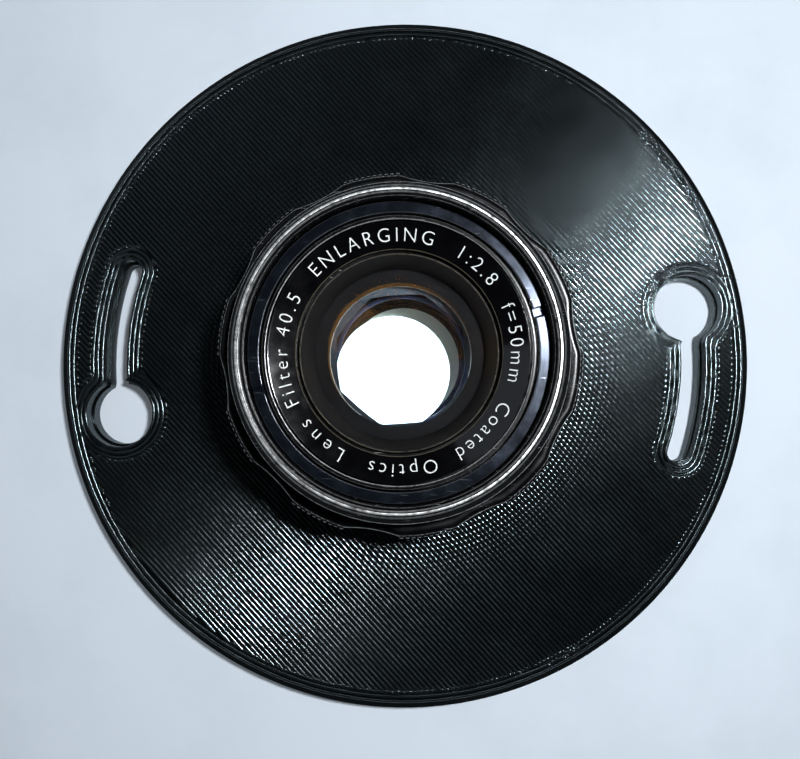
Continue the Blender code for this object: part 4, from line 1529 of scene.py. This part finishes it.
@dataclass(frozen=True)
class Element:
    """Glass element, or two cemented ones: vertex heights and radii of curvature (0 is flat)."""

    nodes: tuple[str, ...]
    front_curve: float
    rear_curve: float
    front_vertex: float
    rear_vertex: float
    finish: CoatedGlass
    clear: float | None = None

    @staticmethod
    def sag(curve: float, radius: float) -> float:
        """Depth of a spherical surface.

        Args:
            curve: Radius of curvature, 0 for a flat.
            radius: Distance from the axis.

        Returns:
            The depth.
        """
        if curve == 0.0:
            return 0.0
        return curve - math.copysign(math.sqrt(curve ** 2 - radius ** 2), curve)

    def side(self, vertex: float, curve: float, edge: float, hollow: bool) -> Section:
        """Points of one surface from the axis outward.

        Args:
            vertex: Height where it meets the axis.
            curve: Its radius of curvature.
            edge: Radius of the element.
            hollow: Whether it is hollow, with a ground flat round it.

        Returns:
            The points.
        """
        reach = self.clear if hollow and self.clear else edge
        steps = 18 if curve else 1
        points = [(reach * i / steps, vertex - self.sag(curve, reach * i / steps), 0.0)
                  for i in range(steps + 1)]
        if reach < edge:
            # The flat round a hollow is ground and painted.
            points += [(reach + 0.02, points[-1][1], 1.0), (edge, points[-1][1], 1.0)]
        return points

    def build(self, shop: Workshop) -> None:
        """Turn the element and coat it.

        Args:
            shop: What the sub-assemblies work with.
        """
        edge = node_size(self.nodes[0])[0]
        front = self.side(self.front_vertex, self.front_curve, edge, self.front_curve < 0.0)
        rear = self.side(self.rear_vertex, self.rear_curve, edge, self.rear_curve > 0.0)
        painted = [(edge, front[-1][1] - 0.01, 1.0), (edge, rear[-1][1] + 0.01, 1.0)]
        glass = lathe(self.nodes[0] + "_glass", front + painted + rear[::-1], 128)
        glass.data.set_sharp_from_angle(angle=math.radians(30.0))
        # Light falls through the glass onto the blades and the floor.
        glass.visible_shadow = False
        shop.finishes.dress(glass, self.finish, "root", self.nodes)


@dataclass
class Optics:
    """Six elements in four groups, and the metalwork that holds the rear ones."""

    shop: Workshop
    cell_mouth: float = 8.9
    cell_bore: float = 7.5
    lip: float = 0.15
    notch_angles: tuple[float, float] = (80.0, 260.0)
    notch_circle: float = 12.2
    notch_length: float = 1.8
    notch_width: float = 1.1
    notch_depth: float = 0.8
    retainer_bore: float = 7.6
    retainer_seat: float = 7.9
    retainer_top: float = 1.0
    elements: tuple[Element, ...] = (
        Element(("front_element",), 28.0, 80.0, 24.6, 22.2, Finishes.AMBER_GLASS),
        Element(("front_doublet_crown", "front_doublet_flint"), 17.5, 12.5, 21.9, 16.85,
                Finishes.AMBER_GLASS, 7.9),
        Element(("rear_doublet_flint", "rear_doublet_crown"), -12.0, -18.0, 6.2, 2.55,
                Finishes.BLUE_GLASS, 7.2),
        Element(("rear_element",), 0.0, -32.0, 2.3, 0.4, Finishes.BLUE_GLASS))

    def build(self) -> None:
        """Build every element and the rear metalwork round them."""
        for element in self.elements:
            element.build(self.shop)
        radius, bottom, top = node_size("rear_cell")
        cell = lathe("rear_cell_body", rounded([
            Corner(self.cell_mouth, bottom), Corner(radius, bottom, 0.3, 0.7), Corner(radius, top),
            Corner(self.cell_bore, top), Corner(self.cell_bore, top - self.lip),
            Corner(self.cell_mouth, top - self.lip)], 3), 160)
        notches = [prism(f"rear_notch_{i}", box_outline(polar(self.notch_circle, a), a, self.notch_length,
                                                        self.notch_width),
                         bottom - 1.0, bottom + self.notch_depth) for i, a in enumerate(self.notch_angles)]
        carve(cell, notches)
        self.shop.finishes.dress(cell, Finishes.ANODISED, "root", ["rear_cell"])
        radius, bottom, top = node_size("rear_lens_retainer")
        ring = lathe("rear_retainer_ring", rounded([
            Corner(self.retainer_bore, bottom, 0.08, 0.6), Corner(radius, bottom, 0.08), Corner(radius, top),
            Corner(self.retainer_seat, self.retainer_top)], 3), 128)
        self.shop.finishes.dress(ring, Finishes.MATT, "root", ["rear_lens_retainer"])


def dress_frame(shop: Workshop) -> None:
    """Give every node that still shows the finish of what it is made of.

    Args:
        shop: What the sub-assemblies work with.
    """
    inner = {"front_spacer": Finishes.DEAD_BLACK, "rear_spacer": Finishes.DEAD_BLACK,
             "iris_base_plate": Finishes.MATT, "iris_cam_ring": Finishes.BRASS}
    for name, node in frame["nodes"].items():
        if node.hide_render:
            continue
        finish = inner.get(name, Finishes.BLADE if name.startswith("iris_blade") else Finishes.STEEL)
        node.data.materials.clear()
        node.data.materials.append(shop.finishes.get(finish))
        LOG.info("%s: kept, %s", name, finish.name)


# ---------------------------------------------------------------- floor, light and camera

@dataclass(frozen=True)
class Lamp:
    """Round lamp: its place, diameter, power, colour and the place it faces, in millimetres and watts."""

    name: str
    place_mm: tuple[float, float, float]
    size_mm: float
    watts: float
    colour: str
    aim_mm: tuple[float, float, float] = (0.0, 0.0, 12.0)
    seen: bool = True

    def build(self) -> None:
        """Set up the lamp."""
        lamp = bpy.data.lights.new(self.name, "AREA")
        lamp.shape = "DISK"
        lamp.size = self.size_mm * MM
        lamp.energy = self.watts
        lamp.color = linear(self.colour)[:3]
        light = bpy.data.objects.new(self.name, lamp)
        light.location = Vector(self.place_mm) * MM
        facing = Vector(self.aim_mm) * MM - light.location
        light.rotation_euler = facing.to_track_quat("-Z", "Y").to_euler()
        light.visible_camera = self.seen
        bpy.context.scene.collection.objects.link(light)


@dataclass
class Studio:
    """Plain pale floor, soft light and the camera above the front of the lens."""

    camera_mm: tuple[float, float, float] = (2.9, -7.8, 145.0)
    tilt_degrees: tuple[float, float, float] = (2.01, 1.32, 0.0)
    focal_mm: float = 40.3
    floor_mm: float = 4000.0
    floor_drop: float = 0.02
    floor_glow: tuple[float, float] = (0.1, 0.3)
    sky_strength: float = 0.4
    # Pale uncoated paper: matt, faintly mottled.
    paper: Finish = Finish("pale_paper", "gloss_black", "#d7e0e8", "#cdd7df", (0.7, 0.85), mottle_mm=25.0,
                           grain_mm=0.3, relief_mm=0.004)
    # The last lamp stands under the iris: it is the bright light that is seen through the lens.
    lamps: tuple[Lamp, ...] = (
        Lamp("key_light", (60.0, 26.0, 220.0), 26.0, 0.53, "#f6faff"),
        Lamp("fill_light", (-260.0, 160.0, 420.0), 300.0, 0.10, "#e4eefc"),
        Lamp("light_through_lens", (-1.0, -1.35, 9.05), 13.0, 0.00125, "#eef6ff", (-1.0, -1.35, 19.05),
             seen=False))

    def build_floor(self) -> None:
        """Sheet of pale paper just under the board."""
        half, low = self.floor_mm / 2, -self.floor_drop
        floor = new_object("paper_floor", [(-half, -half, low), (half, -half, low), (half, half, low),
                                           (-half, half, low)], [(0, 1, 2, 3)])
        sheet = self.paper.build()
        # A faint light of its own, stronger far away, keeps the far floor as pale as the sky above it.
        tree = sheet.node_tree
        shader = tree.nodes["Principled BSDF"]
        shader.inputs["Emission Color"].default_value = linear("#dfe8f0")
        place = add_node(tree, "ShaderNodeTexCoord").outputs["Object"]
        far = add_node(tree, "ShaderNodeVectorMath", {0: place}, operation="LENGTH")
        share = add_node(tree, "ShaderNodeMapRange", {"Value": far.outputs["Value"], "From Min": 0.1,
                                                      "From Max": 0.8, "To Min": self.floor_glow[0],
                                                      "To Max": self.floor_glow[1]},
                         interpolation_type="SMOOTHSTEP")
        tree.links.new(share.outputs["Result"], shader.inputs["Emission Strength"])
        floor.data.materials.append(sheet)

    def build_sky(self) -> None:
        """Light walls and a dark ceiling: bright low down, dark overhead."""
        world = bpy.data.worlds.new("soft_sky")
        world.use_nodes = True
        tree = world.node_tree
        place = add_node(tree, "ShaderNodeTexCoord").outputs["Generated"]
        axes = add_node(tree, "ShaderNodeSeparateXYZ", {"Vector": place})
        share = add_node(tree, "ShaderNodeMapRange", {"Value": axes.outputs["Z"], "From Min": 0.2,
                                                      "From Max": 0.75}, interpolation_type="SMOOTHSTEP")
        colour = Finish.mix_colour(tree, share.outputs["Result"], linear("#dfe8f0"), linear("#0f1215"))
        tree.links.new(colour, tree.nodes["Background"].inputs["Color"])
        tree.nodes["Background"].inputs["Strength"].default_value = self.sky_strength
        bpy.context.scene.world = world

    def build(self) -> None:
        """Set up the floor, the lamps, the sky and the camera."""
        self.build_floor()
        self.build_sky()
        for lamp in self.lamps:
            lamp.build()
        bpy.context.scene.cycles.caustics_reflective = False
        bpy.context.scene.view_settings.view_transform = "Standard"
        lens = bpy.data.cameras.new("camera")
        lens.lens = self.focal_mm
        lens.sensor_width = 36.0
        lens.clip_start, lens.clip_end = 0.005, 8.0
        camera = bpy.data.objects.new("camera", lens)
        camera.location = Vector(self.camera_mm) * MM
        camera.rotation_euler = [math.radians(a) for a in self.tilt_degrees]
        bpy.context.scene.collection.objects.link(camera)
        bpy.context.scene.camera = camera


def main() -> None:
    """Build the lens, then its surroundings."""
    logging.basicConfig(level=logging.INFO, format="%(name)s %(message)s")
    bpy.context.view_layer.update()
    shop = Workshop()
    for assembly in (LensBoard(shop), MainBarrel(shop), ApertureRing(shop), FrontBarrel(shop),
                     FrontRings(shop), Optics(shop)):
        assembly.build()
        LOG.info("%s built", type(assembly).__name__)
    dress_frame(shop)
    Studio().build()


if __name__ == "__main__":
    main()
